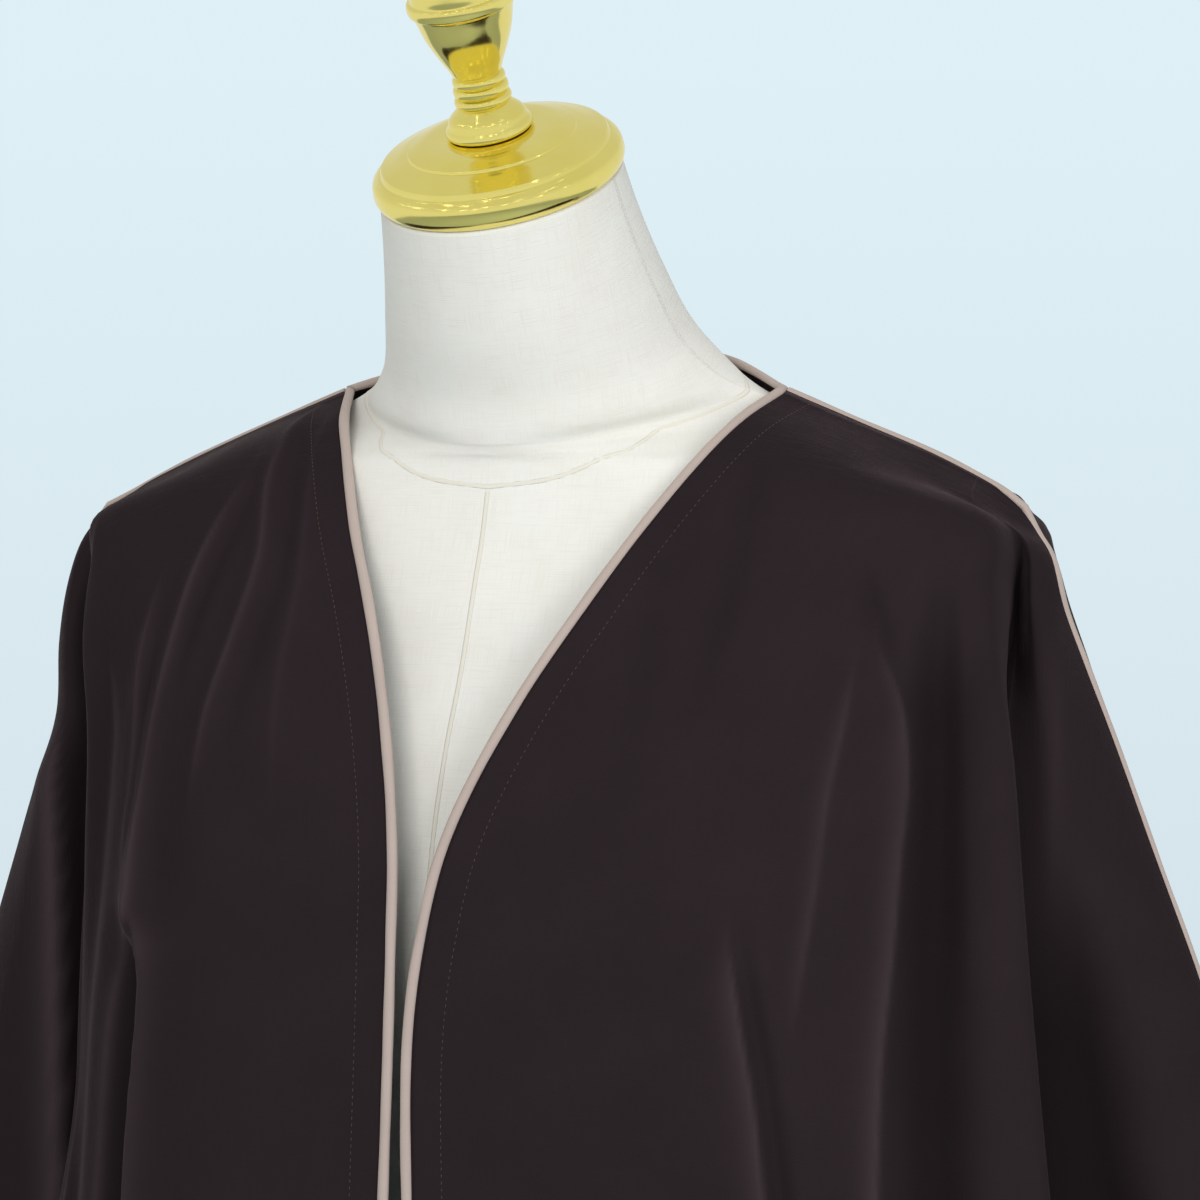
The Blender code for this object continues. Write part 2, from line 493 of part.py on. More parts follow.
class Panel:
    """Cloth gathered from grids that share some of their points, then given its wall."""

    def __init__(self):
        self.points, self.normals, self.faces = [], [], []

    def add(self, grid, normals, known=None):
        """Add a grid; known holds the numbers of points that are already there, or -1.

        Each cell is cut along its shorter diagonal, on both faces of the wall alike.
        """
        numbers = np.full(grid.shape[:2], -1) if known is None else known.copy()
        for place in zip(*np.nonzero(numbers < 0)):
            numbers[place] = len(self.points)
            self.points.append(grid[place])
            self.normals.append(normals[place])
        a, b = numbers[:-1, :-1], numbers[:-1, 1:]
        c, d = numbers[1:, 1:], numbers[1:, :-1]
        points = np.array(self.points)
        falling = (np.linalg.norm(points[a] - points[c], axis=-1)
                   < np.linalg.norm(points[b] - points[d], axis=-1))
        for one, two in (((a, b, c), (a, b, d)), ((a, c, d), (b, c, d))):
            chosen = np.where(falling[..., None], np.stack(one, axis=-1), np.stack(two, axis=-1))
            self.faces += chosen.reshape(-1, 3).tolist()
        return numbers

    def wall(self, name, material_name):
        """A closed wall: the outer points, the same points moved in, and a rim round the border."""
        outer = np.array(self.points)
        outward = unit(np.array(self.normals))
        corners = outer[np.array(self.faces)]
        facing = unit(np.cross(corners[:, 1] - corners[:, 0], corners[:, 2] - corners[:, 0]))
        # A crease's inner point lies further in, so that the wall beside it keeps its thickness.
        lean = np.ones(len(outer))
        for corner in range(3):
            numbers = np.array(self.faces)[:, corner]
            np.minimum.at(lean, numbers, np.abs(np.einsum("ij,ij->i", outward[numbers], facing)))
        inner = outer - outward * (WALL / np.maximum(lean, 1 / MITRE_LIMIT))[:, None]
        count = len(outer)
        faces = [tuple(f) for f in self.faces] + [tuple(n + count for n in reversed(f)) for f in self.faces]
        edges = {}
        for face in self.faces:
            for start, end in zip(face, face[1:] + face[:1]):
                edges[(start, end)] = edges.get((start, end), 0) + 1
        border = [edge for edge in edges if (edge[1], edge[0]) not in edges]
        faces += [(end, start, start + count, end + count) for start, end in border]
        return add_solid(name, np.concatenate((outer, inner)), faces, material_name)


def mirrored(grid):
    """A grid on the other side of the middle plane, its columns in the opposite order."""
    return (grid * (-1, 1, 1))[:, ::-1]


def make_front(side, sections, normals, underarm):
    """A front with its half sleeve. The two grids share the valley down to the underarm."""
    panel = Panel()
    body, sleeve = sections["body_front"], sections["sleeve_front"]
    body_n, sleeve_n = normals["body_front"], normals["sleeve_front"]
    join, free = -1, 0
    if side == "right":
        body, sleeve, body_n, sleeve_n = (mirrored(g) for g in (body, sleeve, body_n, sleeve_n))
        join, free = 0, -1
    numbers = panel.add(body, body_n)
    known = np.full(sleeve.shape[:2], -1)
    known[:underarm + 1, free] = numbers[:underarm + 1, join]
    panel.add(sleeve, sleeve_n, known)
    panel.wall("front_" + side, "abaya_crepe")


def make_back(sides):
    """The back: both sides' grids, joined at the centre back and at each valley."""
    panel = Panel()
    left, left_n, underarm = sides["left"]
    right, right_n, _ = sides["right"]
    body = panel.add(left["body_back"], left_n["body_back"])
    known = np.full(left["sleeve_back"].shape[:2], -1)
    known[:underarm + 1, -1] = body[:underarm + 1, 0]
    panel.add(left["sleeve_back"], left_n["sleeve_back"], known)
    other = mirrored(right["body_back"])
    known = np.full(other.shape[:2], -1)
    known[:, 0] = body[:, -1]
    body = panel.add(other, mirrored(right_n["body_back"]), known)
    other = mirrored(right["sleeve_back"])
    known = np.full(other.shape[:2], -1)
    known[:underarm + 1, 0] = body[:underarm + 1, -1]
    panel.add(other, mirrored(right_n["sleeve_back"]), known)
    panel.wall("back", "abaya_crepe")


def make_piping(name, path, across, outward):
    """A flat round cord along a path, PIPING_WIDTH across and PIPING_THICKNESS out of the cloth."""
    angles = 2 * np.pi * (np.arange(PIPING_SIDES) + 0.5) / PIPING_SIDES
    wide = 0.5 * PIPING_WIDTH * np.cos(angles)[None, :, None] * across[:, None, :]
    high = 0.5 * PIPING_THICKNESS * np.sin(angles)[None, :, None] * outward[:, None, :]
    rings = path[:, None, :] + wide + high
    count = len(path)
    numbers = np.arange(count * PIPING_SIDES).reshape(count, PIPING_SIDES)
    ahead = np.roll(numbers, -1, axis=1)
    faces = np.stack((numbers[:-1], ahead[:-1], ahead[1:], numbers[1:]), axis=-1).reshape(-1, 4).tolist()
    faces += [numbers[0][::-1].tolist(), numbers[-1].tolist()]
    add_solid(name, rings.reshape(-1, 3), faces, "piping_satin")


def make_neckline_piping(sides):
    """Up the left front edge, round the back neck and down the right front edge."""
    columns = len(places_of(NECK_STEPS))
    left, left_n, _ = sides["left"]
    right, right_n, _ = sides["right"]
    run = [left["edge"][::-1], left["body_back"][0, -columns + 1:]]
    run_n = [left_n["body_front"][::-1, 0], left_n["body_back"][0, -columns + 1:]]
    run += [right["body_back"][0, -columns + 1:-1][::-1] * (-1, 1, 1), right["edge"] * (-1, 1, 1)]
    run_n += [right_n["body_back"][0, -columns + 1:-1][::-1] * (-1, 1, 1),
              right_n["body_front"][:, 0] * (-1, 1, 1)]
    path, outward = np.concatenate(run), unit(np.concatenate(run_n))
    along = path_tangents(path)
    across = unit(np.cross(along, outward))
    if across[0, 0] > 0:
        across = -across
    outward = unit(np.cross(across, along))
    if outward[0, 1] > 0:
        outward = -outward
    path = path + (0.5 * PIPING_WIDTH + PIPING_CLEARANCE) * across - 0.5 * WALL * outward
    make_piping("piping_neckline", path, across, outward)


def make_sleeve_piping(side, path, outward, forward):
    """Piping in the overarm seam, from just outside the neckline piping to the cuff."""
    path = path - 0.5 * WALL * outward
    if side == "right":
        path, outward, forward = (v * (-1, 1, 1) for v in (path, outward, forward))
    make_piping("piping_sleeve_" + side, path, forward, outward)


def make_form():
    """The padded form, skinned over its rings and closed at the neck and the hips."""
    angle = 2 * np.pi * np.arange(FORM_SIDES) / FORM_SIDES
    side, ahead = np.cos(angle), np.sin(angle)
    rings = []
    for ring in FORM_RINGS:
        depth = np.where(ahead < 0, -ring.front * np.abs(ahead) ** ring.front_power,
                         ring.back * np.abs(ahead) ** ring.back_power)
        tilt = math.radians(ring.tilt_deg)
        rings.append(np.column_stack((ring.half_width * side, ring.centre_y + depth * math.cos(tilt),
                                      ring.centre_z + depth * math.sin(tilt))))
    points = np.concatenate(rings)
    numbers = np.arange(len(points)).reshape(len(rings), FORM_SIDES)
    ahead_numbers = np.roll(numbers, -1, axis=1)
    faces = np.stack((numbers[:-1], ahead_numbers[:-1], ahead_numbers[1:], numbers[1:]), axis=-1)
    faces = faces.reshape(-1, 4).tolist() + [numbers[0][::-1].tolist(), numbers[-1].tolist()]
    add_solid("form", points, faces, "form_linen", sharp_degrees=60)


def make_turned(name, profile, sides, material_name, foot=(0.0, 0.0, 0.0), tilt=0.0):
    """A profile of (radius, height) turned about an axis that leans forward by tilt from foot."""
    angle = 2 * np.pi * np.arange(sides) / sides
    rings = [np.column_stack((r * np.cos(angle), r * np.sin(angle), np.full(sides, h)))
             for r, h in profile[1:-1]]
    points = np.concatenate(rings + [[(0.0, 0.0, profile[0][1])], [(0.0, 0.0, profile[-1][1])]])
    y = points[:, 1] * math.cos(tilt) - points[:, 2] * math.sin(tilt)
    z = points[:, 1] * math.sin(tilt) + points[:, 2] * math.cos(tilt)
    points = np.column_stack((points[:, 0], y, z)) + foot
    numbers = np.arange(len(rings) * sides).reshape(len(rings), sides)
    ahead = np.roll(numbers, -1, axis=1)
    faces = np.stack((numbers[:-1], ahead[:-1], ahead[1:], numbers[1:]), axis=-1).reshape(-1, 4).tolist()
    low, high = len(points) - 2, len(points) - 1
    faces += [(low, b, a) for a, b in zip(numbers[0], ahead[0])]
    faces += [(high, a, b) for a, b in zip(numbers[-1], ahead[-1])]
    return add_solid(name, points, faces, material_name, sharp_degrees=40)


def make_stand():
    """Base, pole, neck cap and finial, each a turned piece."""
    make_turned("base", BASE_PROFILE, BASE_SIDES, "polished_gold")
    low, high = BASE_PROFILE[-1][1] + JOINT_GAP, FORM_RINGS[-1].centre_z - JOINT_GAP
    pole = ((0.0, low), (POLE_RADIUS, low), (POLE_RADIUS, high), (0.0, high))
    make_turned("pole", pole, POLE_SIDES, "polished_gold")
    make_turned("neck_cap", CAP_PROFILE, TURNED_SIDES, "polished_gold", CAP_FOOT, NECK_TILT)
    lift = CAP_PROFILE[-1][1] + JOINT_GAP
    foot = (0.0, CAP_FOOT[1] - lift * math.sin(NECK_TILT), CAP_FOOT[2] + lift * math.cos(NECK_TILT))
    make_turned("finial", FINIAL_PROFILE, TURNED_SIDES, "polished_gold", foot, NECK_TILT)


def main():
    for thing in list(bpy.data.objects):
        bpy.data.objects.remove(thing)
    sides = {}
    for side in ("left", "right"):
        sections, normals, underarm = cloth_side(side)
        edge = sections["body_front"][:, 0].copy()
        path, path_n, forward = open_seams(sections, normals, underarm)
        sections["edge"] = edge
        sides[side] = (sections, normals, underarm)
        make_front(side, sections, normals, underarm)
        make_sleeve_piping(side, path, path_n, forward)
    make_back(sides)
    make_neckline_piping(sides)
    make_form()
    make_stand()


main()
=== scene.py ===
# %% [markdown]
# # An open-front abaya on a dress form
#
# The cloak is a kimono cut in dark crepe: two fronts and a back, each cut in one with its sleeve
# halves, with beige piping in the overarm seams and round the whole front opening. It hangs on a
# linen-covered form with a gold cap and finial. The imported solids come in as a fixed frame. Each of
# them gets a finer piece here, worked out with numpy from the same kind of sizes.

# %% Load the frame
from collections import namedtuple
import math

import bpy
import numpy as np
from mathutils import Matrix, Vector


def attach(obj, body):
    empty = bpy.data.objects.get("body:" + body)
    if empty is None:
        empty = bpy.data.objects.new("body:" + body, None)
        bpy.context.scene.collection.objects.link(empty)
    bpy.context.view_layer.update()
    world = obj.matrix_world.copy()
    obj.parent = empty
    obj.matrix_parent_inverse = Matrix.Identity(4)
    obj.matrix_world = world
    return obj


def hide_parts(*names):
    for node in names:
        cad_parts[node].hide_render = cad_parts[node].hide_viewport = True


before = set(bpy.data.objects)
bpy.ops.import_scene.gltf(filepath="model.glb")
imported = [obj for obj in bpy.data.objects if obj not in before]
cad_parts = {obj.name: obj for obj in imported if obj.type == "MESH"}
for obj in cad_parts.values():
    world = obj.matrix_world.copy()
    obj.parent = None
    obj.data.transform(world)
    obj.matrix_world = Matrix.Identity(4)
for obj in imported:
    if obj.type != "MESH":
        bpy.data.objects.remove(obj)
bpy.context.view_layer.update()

print("nodes:", ", ".join(sorted(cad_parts)))

# %% [markdown]
# ## Camera and light
#
# A long lens from a little to the wearer's left frames the shoulders and the neck. A constraint could
# aim the camera, but a camera matrix is only three directions and a place, so it is written as such.
# The light is that of a bright studio: a broad lamp ahead, one from the wearer's left and a pale
# surround. The surround could be one colour. A Light Path node splits it instead, because the camera
# wants it brighter than the folds can bear as a light, and polished gold wants something to mirror.

# %% Camera
AZIMUTH, ELEVATION = math.radians(23.4), math.radians(2.1)
CAMERA_DISTANCE = 1.65
AIM_HEIGHT = 1.3677
AIM_SIDE = 0.0206               # the aim lies this far to the right of the form's axis
LENS, SENSOR = 114.8, 36.0      # millimetres


def new_object(name, data):
    """An object in the scene, at the origin."""
    made = bpy.data.objects.new(name, data)
    bpy.context.scene.collection.objects.link(made)
    return made


back_way = Vector((math.sin(AZIMUTH) * math.cos(ELEVATION), -math.cos(AZIMUTH) * math.cos(ELEVATION),
                   math.sin(ELEVATION)))
right_way = Vector((math.cos(AZIMUTH), math.sin(AZIMUTH), 0.0))
camera = new_object("camera", bpy.data.cameras.new("camera"))
placed = Matrix((right_way, back_way.cross(right_way), back_way)).transposed().to_4x4()
placed.translation = Vector((0, 0, AIM_HEIGHT)) + AIM_SIDE * right_way + CAMERA_DISTANCE * back_way
camera.matrix_world = placed
camera.data.lens, camera.data.sensor_width = LENS, SENSOR
bpy.context.scene.camera = camera
bpy.context.scene.view_settings.view_transform = "Standard"
print("camera at", [round(c, 3) for c in camera.location])

# %% Light and surround
Lamp = namedtuple("Lamp", "name place size watts colour")
LAMPS = (
    Lamp("key", (0.10, -1.85, 2.20), 1.0, 15.0, (1.0, 0.985, 0.96)),
    Lamp("fill", (1.9, -1.3, 1.80), 1.0, 18.0, (0.98, 0.99, 1.0)),
)
AIM = Vector((0.0, 0.0, 1.25))
SURROUND = (0.735, 0.865, 0.925)       # as the camera sees it, high up
SURROUND_LOW = (0.640, 0.745, 0.790)
SHED = (0.50, 0.515, 0.52)              # the light that it sheds on everything
MIRROR_LEVEL = (0.80, 0.82, 0.80)       # what a mirror sees of it, looking level
MIRROR_HIGH = (0.69, 0.70, 0.64)        # and looking up
CEILING_LAMPS = 9.0                     # brightness of the small lamps that a mirror shows
CEILING_GRID = 7.0                      # how many of them there are to a unit of direction
CEILING_LAMP_EDGE = (0.16, 0.10)        # distance from a lamp's middle where it starts and is full
CEILING_AHEAD, CEILING_ABOVE = (-0.1, -0.3), (0.22, 0.30)   # directions, Y and Z, where they start
HORIZON, MIRROR_RISE = (-0.22, 0.10), (0.05, 0.60)          # Z, from low to high, as seen and mirrored

for lamp in LAMPS:
    light = new_object(lamp.name, bpy.data.lights.new(lamp.name, "AREA"))
    light.data.size, light.data.energy, light.data.color = lamp.size, lamp.watts, lamp.colour
    light.location = lamp.place
    light.rotation_mode = "QUATERNION"
    light.rotation_quaternion = (Vector(lamp.place) - AIM).to_track_quat("Z", "Y")
    light.visible_glossy = False


def math_node(tree, operation, *values):
    """A Math node whose inputs are numbers or other nodes' outputs."""
    node = tree.nodes.new("ShaderNodeMath")
    node.operation = operation
    for place, value in enumerate(values):
        if isinstance(value, (int, float)):
            node.inputs[place].default_value = value
        else:
            tree.links.new(value, node.inputs[place])
    return node.outputs[0]


def colour_mix(tree, factor, low, high):
    """A colour between two, each a triple or another node's output, by a factor from 0 to 1."""
    node = tree.nodes.new("ShaderNodeMix")
    node.data_type = "RGBA"
    tree.links.new(factor, node.inputs["Factor"])
    for name, value in (("A", low), ("B", high)):
        if isinstance(value, tuple):
            node.inputs[name].default_value = value + (1.0,)
        else:
            tree.links.new(value, node.inputs[name])
    return node.outputs["Result"]


def span(tree, value, start, end, low=0.0, high=1.0):
    """A value mapped from start..end to low..high and held there."""
    node = tree.nodes.new("ShaderNodeMapRange")
    for name, number in (("From Min", start), ("From Max", end), ("To Min", low), ("To Max", high)):
        node.inputs[name].default_value = number
    tree.links.new(value, node.inputs["Value"])
    return node.outputs["Result"]


def noise(tree, place, scale, detail=2.0):
    """Noise from 0 to 1 at a place, itself another node's output."""
    node = tree.nodes.new("ShaderNodeTexNoise")
    node.inputs["Scale"].default_value, node.inputs["Detail"].default_value = scale, detail
    tree.links.new(place, node.inputs["Vector"])
    return node.outputs["Fac"]


def bump(tree, height, strength, distance):
    """A Bump node on a shader's normal; distance is the relief of a height of 1, in metres."""
    node = tree.nodes.new("ShaderNodeBump")
    node.inputs["Strength"].default_value, node.inputs["Distance"].default_value = strength, distance
    tree.links.new(height, node.inputs["Height"])
    tree.links.new(node.outputs[0], tree.nodes["Principled BSDF"].inputs["Normal"])


def material_tree(name):
    """A new material with its node tree and that tree's Principled BSDF."""
    material = bpy.data.materials.new(name)
    material.use_nodes = True
    return material, material.node_tree, material.node_tree.nodes["Principled BSDF"]


def make_surround():
    """A pale world, darker below to the camera, even as a light, and with small lamps to a mirror."""
    world = bpy.data.worlds.new("studio")
    bpy.context.scene.world = world
    world.use_nodes = True
    tree = world.node_tree
    nodes, link = tree.nodes, tree.links.new
    way, parts, path = (nodes.new("ShaderNode" + kind) for kind in ("TexCoord", "SeparateXYZ", "LightPath"))
    link(way.outputs["Generated"], parts.inputs[0])
    seen = colour_mix(tree, span(tree, parts.outputs["Z"], *HORIZON), SURROUND_LOW, SURROUND)
    mirrored = colour_mix(tree, span(tree, parts.outputs["Z"], *MIRROR_RISE), MIRROR_LEVEL, MIRROR_HIGH)
    cells = nodes.new("ShaderNodeTexVoronoi")
    cells.inputs["Scale"].default_value = CEILING_GRID
    link(way.outputs["Generated"], cells.inputs["Vector"])
    lamps = span(tree, cells.outputs["Distance"], *CEILING_LAMP_EDGE)
    ahead = math_node(tree, "MULTIPLY", lamps, span(tree, parts.outputs["Y"], *CEILING_AHEAD))
    above = math_node(tree, "MULTIPLY", ahead, span(tree, parts.outputs["Z"], *CEILING_ABOVE))
    mirrored = colour_mix(tree, above, mirrored, (CEILING_LAMPS,) * 3)
    light = colour_mix(tree, path.outputs["Is Glossy Ray"], SHED, mirrored)
    link(colour_mix(tree, path.outputs["Is Camera Ray"], light, seen), nodes["Background"].inputs["Color"])


make_surround()
print("lamps:", ", ".join(lamp.name for lamp in LAMPS))

# %% [markdown]
# ## Materials
#
# Crepe, satin and linen are woven, and a twisted thread looks like a fine twill, so one shader group
# serves them all. It gives the height of the threads, plain or twill, and a mask of slubs, the thick
# places that a hand-spun thread leaves. An image texture could be laid on instead, but sines of the UV
# place need no file, never blur and take any pitch. Each material puts its own pitch in and decides
# what the height and the slubs do.

# %% The woven group
WANDER_SCALE = 180.0                    # scales are in patches a metre
SLUB_SCALE, SLUB_STRETCH, SLUB_EDGE = 2100.0, 0.03, (0.56, 0.74)
MOTTLE = (26.0, 4.0)                    # scale and detail


def socket(group, name, kind, default=None, way="INPUT"):
    """A named input or output of a node group."""
    made = group.interface.new_socket(name=name, in_out=way, socket_type="NodeSocket" + kind)
    if default is not None:
        made.default_value = default
    return made


def woven_group():
    """Height of threads and mask of slubs, from a UV place in metres.

    A plain weave is the sum of a sine across and a sine along; a twill is one sine of their sum.
    Slubs are noise drawn out 33 times along each thread.
    """
    tree = bpy.data.node_groups.new("woven", "ShaderNodeTree")
    socket(tree, "Place", "Vector")
    for name, value in (("Pitch", 0.0006), ("Twill", 0.0), ("Wander", 0.5)):
        socket(tree, name, "Float", value)
    for name in ("Height", "Slubs", "Mottle"):
        socket(tree, name, "Float", way="OUTPUT")
    nodes, link = tree.nodes, tree.links.new
    given, out = nodes.new("NodeGroupInput"), nodes.new("NodeGroupOutput")
    parts = nodes.new("ShaderNodeSeparateXYZ")
    link(given.outputs["Place"], parts.inputs[0])
    across = math_node(tree, "DIVIDE", parts.outputs[0], given.outputs["Pitch"])
    along = math_node(tree, "DIVIDE", parts.outputs[1], given.outputs["Pitch"])
    wander = noise(tree, given.outputs["Place"], WANDER_SCALE)
    drift = math_node(tree, "MULTIPLY", wander, given.outputs["Wander"])
    across, along = math_node(tree, "ADD", across, drift), math_node(tree, "SUBTRACT", along, drift)
    turn = 2 * math.pi
    warp = math_node(tree, "SINE", math_node(tree, "MULTIPLY", across, turn))
    weft = math_node(tree, "SINE", math_node(tree, "MULTIPLY", along, turn))
    plain = math_node(tree, "MULTIPLY", math_node(tree, "ADD", warp, weft), 0.5)
    diagonal = math_node(tree, "ADD", across, along)
    twill = math_node(tree, "SINE", math_node(tree, "MULTIPLY", diagonal, turn))
    mix = nodes.new("ShaderNodeMix")
    link(given.outputs["Twill"], mix.inputs["Factor"])
    link(plain, mix.inputs["A"])
    link(twill, mix.inputs["B"])
    link(mix.outputs["Result"], out.inputs["Height"])
    masks = []
    for stretch in ((SLUB_STRETCH, 1.0, 1.0), (1.0, SLUB_STRETCH, 1.0)):
        drawn = nodes.new("ShaderNodeVectorMath")
        drawn.operation = "MULTIPLY"
        drawn.inputs[1].default_value = stretch
        link(given.outputs["Place"], drawn.inputs[0])
        masks.append(span(tree, noise(tree, drawn.outputs[0], SLUB_SCALE, 0.0), *SLUB_EDGE))
    link(math_node(tree, "MAXIMUM", *masks), out.inputs["Slubs"])
    link(noise(tree, given.outputs["Place"], *MOTTLE), out.inputs["Mottle"])
    return tree


WOVEN = woven_group()
print("group:", WOVEN.name)

# %% Woven materials
Fabric = namedtuple("Fabric", "slot dark light pitch twill wander relief slub_share roughness specular "
                              "sheen tint")
FABRICS = {
    "crepe": Fabric("abaya_crepe", (0.0222, 0.0157, 0.0176), (0.0285, 0.0203, 0.0227), 0.0007, 0.35, 1.4,
                    0.00010, 0.15, 0.50, 0.003, 0.100, (1.0, 0.74, 0.81)),
    "satin_piping": Fabric("piping_satin", (0.440, 0.355, 0.315), (0.540, 0.445, 0.400), 0.0006, 1.0, 0.3,
                           0.00004, 0.10, 0.50, 0.30, 0.10, (1.0, 0.95, 0.90)),
    "slub_linen": Fabric("form_linen", (0.890, 0.900, 0.860), (0.820, 0.790, 0.720), 0.0008, 0.0, 0.9,
                         0.00006, 0.30, 0.88, 0.25, 0.30, (1.0, 1.0, 1.0)),
    "thread": Fabric("piping_satin", (0.085, 0.055, 0.042), (0.140, 0.094, 0.070), 0.0004, 1.0, 0.2,
                     0.00003, 0.0, 0.55, 0.30, 0.0, (1.0, 1.0, 1.0)),
    "seam_tape": Fabric("form_linen", (0.780, 0.745, 0.640), (0.830, 0.805, 0.725), 0.0005, 1.0, 0.2,
                        0.00003, 0.0, 0.80, 0.30, 0.0, (1.0, 1.0, 1.0)),
}
SHEEN_ROUGHNESS = 0.30
THREAD_TONE, THREAD_BUMP, SLUB_HEIGHT = 0.12, 0.5, 1.5
GLOSS_RANGE = 0.10                          # how far the mottle shifts the roughness, in all
CREST_HIGHLIGHT_COLOUR = (0.0560, 0.0400, 0.0455)     # painted highlight along the crests of creases
HOLLOW_SHADE_COLOUR = (0.0085, 0.0062, 0.0069)    # where a hollow keeps its nap raised and dark
AWAY_SHARE = 0.40                           # painted shade in the hollows of creases, and where crepe is seen edge on
AWAY_EDGE = (0.20, 0.90)                    # the facing at which that painted shade starts and is full


def make_fabric(name, cloth):
    """A woven material: colour between dark and light by mottle and slubs, relief by the threads.

    Crepe has a second UV: its first number is the share of painted highlight on crests, its second
    the share of painted shade in hollows. Crepe seen edge on gets painted shade as well.
    """
    material, tree, shader = material_tree(name)
    nodes, link = tree.nodes, tree.links.new
    for key, value in (("Specular IOR Level", cloth.specular), ("Sheen Weight", cloth.sheen),
                       ("Sheen Roughness", SHEEN_ROUGHNESS), ("Sheen Tint", cloth.tint + (1.0,))):
        shader.inputs[key].default_value = value
    uv = nodes.new("ShaderNodeUVMap")
    uv.uv_map = "cloth"
    woven = nodes.new("ShaderNodeGroup")
    woven.node_tree = WOVEN
    for key, value in (("Pitch", cloth.pitch), ("Twill", cloth.twill), ("Wander", cloth.wander)):
        woven.inputs[key].default_value = value
    link(uv.outputs[0], woven.inputs["Place"])
    height, slubs, mottle = (woven.outputs[key] for key in ("Height", "Slubs", "Mottle"))
    tone = math_node(tree, "MULTIPLY_ADD", slubs, cloth.slub_share, mottle)
    tone = math_node(tree, "MULTIPLY_ADD", height, THREAD_TONE, tone)
    shade = colour_mix(tree, tone, cloth.dark, cloth.light)
    if name == "crepe":
        # a second UV holds each point's shares of painted highlight and painted shade
        lie, shares = nodes.new("ShaderNodeUVMap"), nodes.new("ShaderNodeSeparateXYZ")
        lie.uv_map = "lie"
        link(lie.outputs[0], shares.inputs[0])
        # painted highlight along the crests of creases
        shade = colour_mix(tree, shares.outputs["X"], shade, CREST_HIGHLIGHT_COLOUR)
        # painted shade that grows as the crepe turns edge on to the view
        turned = nodes.new("ShaderNodeLayerWeight")
        edge_on_shade = span(tree, turned.outputs["Facing"], *AWAY_EDGE, 0.0, AWAY_SHARE)
        shade_share = math_node(tree, "MAXIMUM", shares.outputs["Y"], edge_on_shade)
        # painted shade in crease hollows and where the crepe is seen edge on
        shade = colour_mix(tree, shade_share, shade, HOLLOW_SHADE_COLOUR)
    link(shade, shader.inputs["Base Color"])
    rough = math_node(tree, "MULTIPLY_ADD", mottle, GLOSS_RANGE, cloth.roughness - 0.5 * GLOSS_RANGE)
    link(rough, shader.inputs["Roughness"])
    bump(tree, math_node(tree, "MULTIPLY_ADD", slubs, SLUB_HEIGHT, height), THREAD_BUMP, cloth.relief)
    return material


materials = {name: make_fabric(name, cloth) for name, cloth in FABRICS.items()}
slots = {name: cloth.slot for name, cloth in FABRICS.items()}
print("fabrics:", ", ".join(materials))

# %% [markdown]
# The cap, the finial and the stand are plated and polished. One colour and one roughness would make
# the metal, and it would look drawn. Real plating is uneven, so noise puts faint smudges in its gloss
# and a very low ripple in its surface, which bends the reflections of the room.

# %% Gold
GOLD = (0.95, 0.830, 0.290)
GOLD_DEEP = (0.86, 0.730, 0.190)
GOLD_GLOSS = (0.07, 0.22)       # roughness where it is cleanest and where it is most smudged
SMUDGES, RIPPLE_SCALE = (45.0, 5.0), 120.0
RIPPLE_BUMP = (0.25, 0.00015)   # strength and distance


def make_gold():
    """Metal whose roughness and colour follow soft smudges, with a ripple as its relief."""
    material, tree, shader = material_tree("gold_plating")
    shader.inputs["Metallic"].default_value = 1.0
    place = tree.nodes.new("ShaderNodeTexCoord").outputs["Object"]
    smudge = noise(tree, place, *SMUDGES)
    tree.links.new(span(tree, smudge, 0.0, 1.0, *GOLD_GLOSS), shader.inputs["Roughness"])
    tree.links.new(colour_mix(tree, smudge, GOLD_DEEP, GOLD), shader.inputs["Base Color"])
    bump(tree, noise(tree, place, RIPPLE_SCALE), *RIPPLE_BUMP)
    return material


materials["gold_plating"] = make_gold()
slots["gold_plating"] = "polished_gold"
print("metal:", materials["gold_plating"].name)

# %% [markdown]
# ## Curves and grids
#
# The garment is three sheets of cloth that hang from the shoulders. A cloth simulation could drape
# them, but it folds them where it likes. Here all cloth is one kind of surface: points on a grid
# whose columns go round the body and whose rows go down it. A smooth curve through a few named points
# gives a row, and a smooth curve through the rows gives everything between them.

# %% Smooth curves
def unit(vectors):
    """Vectors scaled to length one."""
    return vectors / np.maximum(np.linalg.norm(vectors, axis=-1, keepdims=True), 1e-12)


def smooth_curve(points, spacing, places, softness=None):
    """Cubic Hermite curve: each point's tangent is the mean of its two slopes, weighted by spacing.

    A place of 1.5 is half way from point 1 to point 2. softness 0 makes a crease of a point.
    """
    points = np.asarray(points, float)
    column = (-1,) + (1,) * (points.ndim - 1)
    spacing = np.asarray(spacing, float).reshape(column)
    slope = (points[1:] - points[:-1]) / spacing
    inner = (slope[:-1] * spacing[1:] + slope[1:] * spacing[:-1]) / (spacing[:-1] + spacing[1:])
    tangent = np.concatenate((slope[:1], inner, slope[-1:]))
    if softness is not None:
        tangent = tangent * np.asarray(softness, float).reshape(column)
    start = np.clip(np.floor(places).astype(int), 0, len(points) - 2)
    t = (np.asarray(places) - start).reshape(column)
    step = spacing[start]
    return ((2 * t**3 - 3 * t**2 + 1) * points[start] + (t**3 - 2 * t**2 + t) * step * tangent[start]
            + (3 * t**2 - 2 * t**3) * points[start + 1] + (t**3 - t**2) * step * tangent[start + 1])


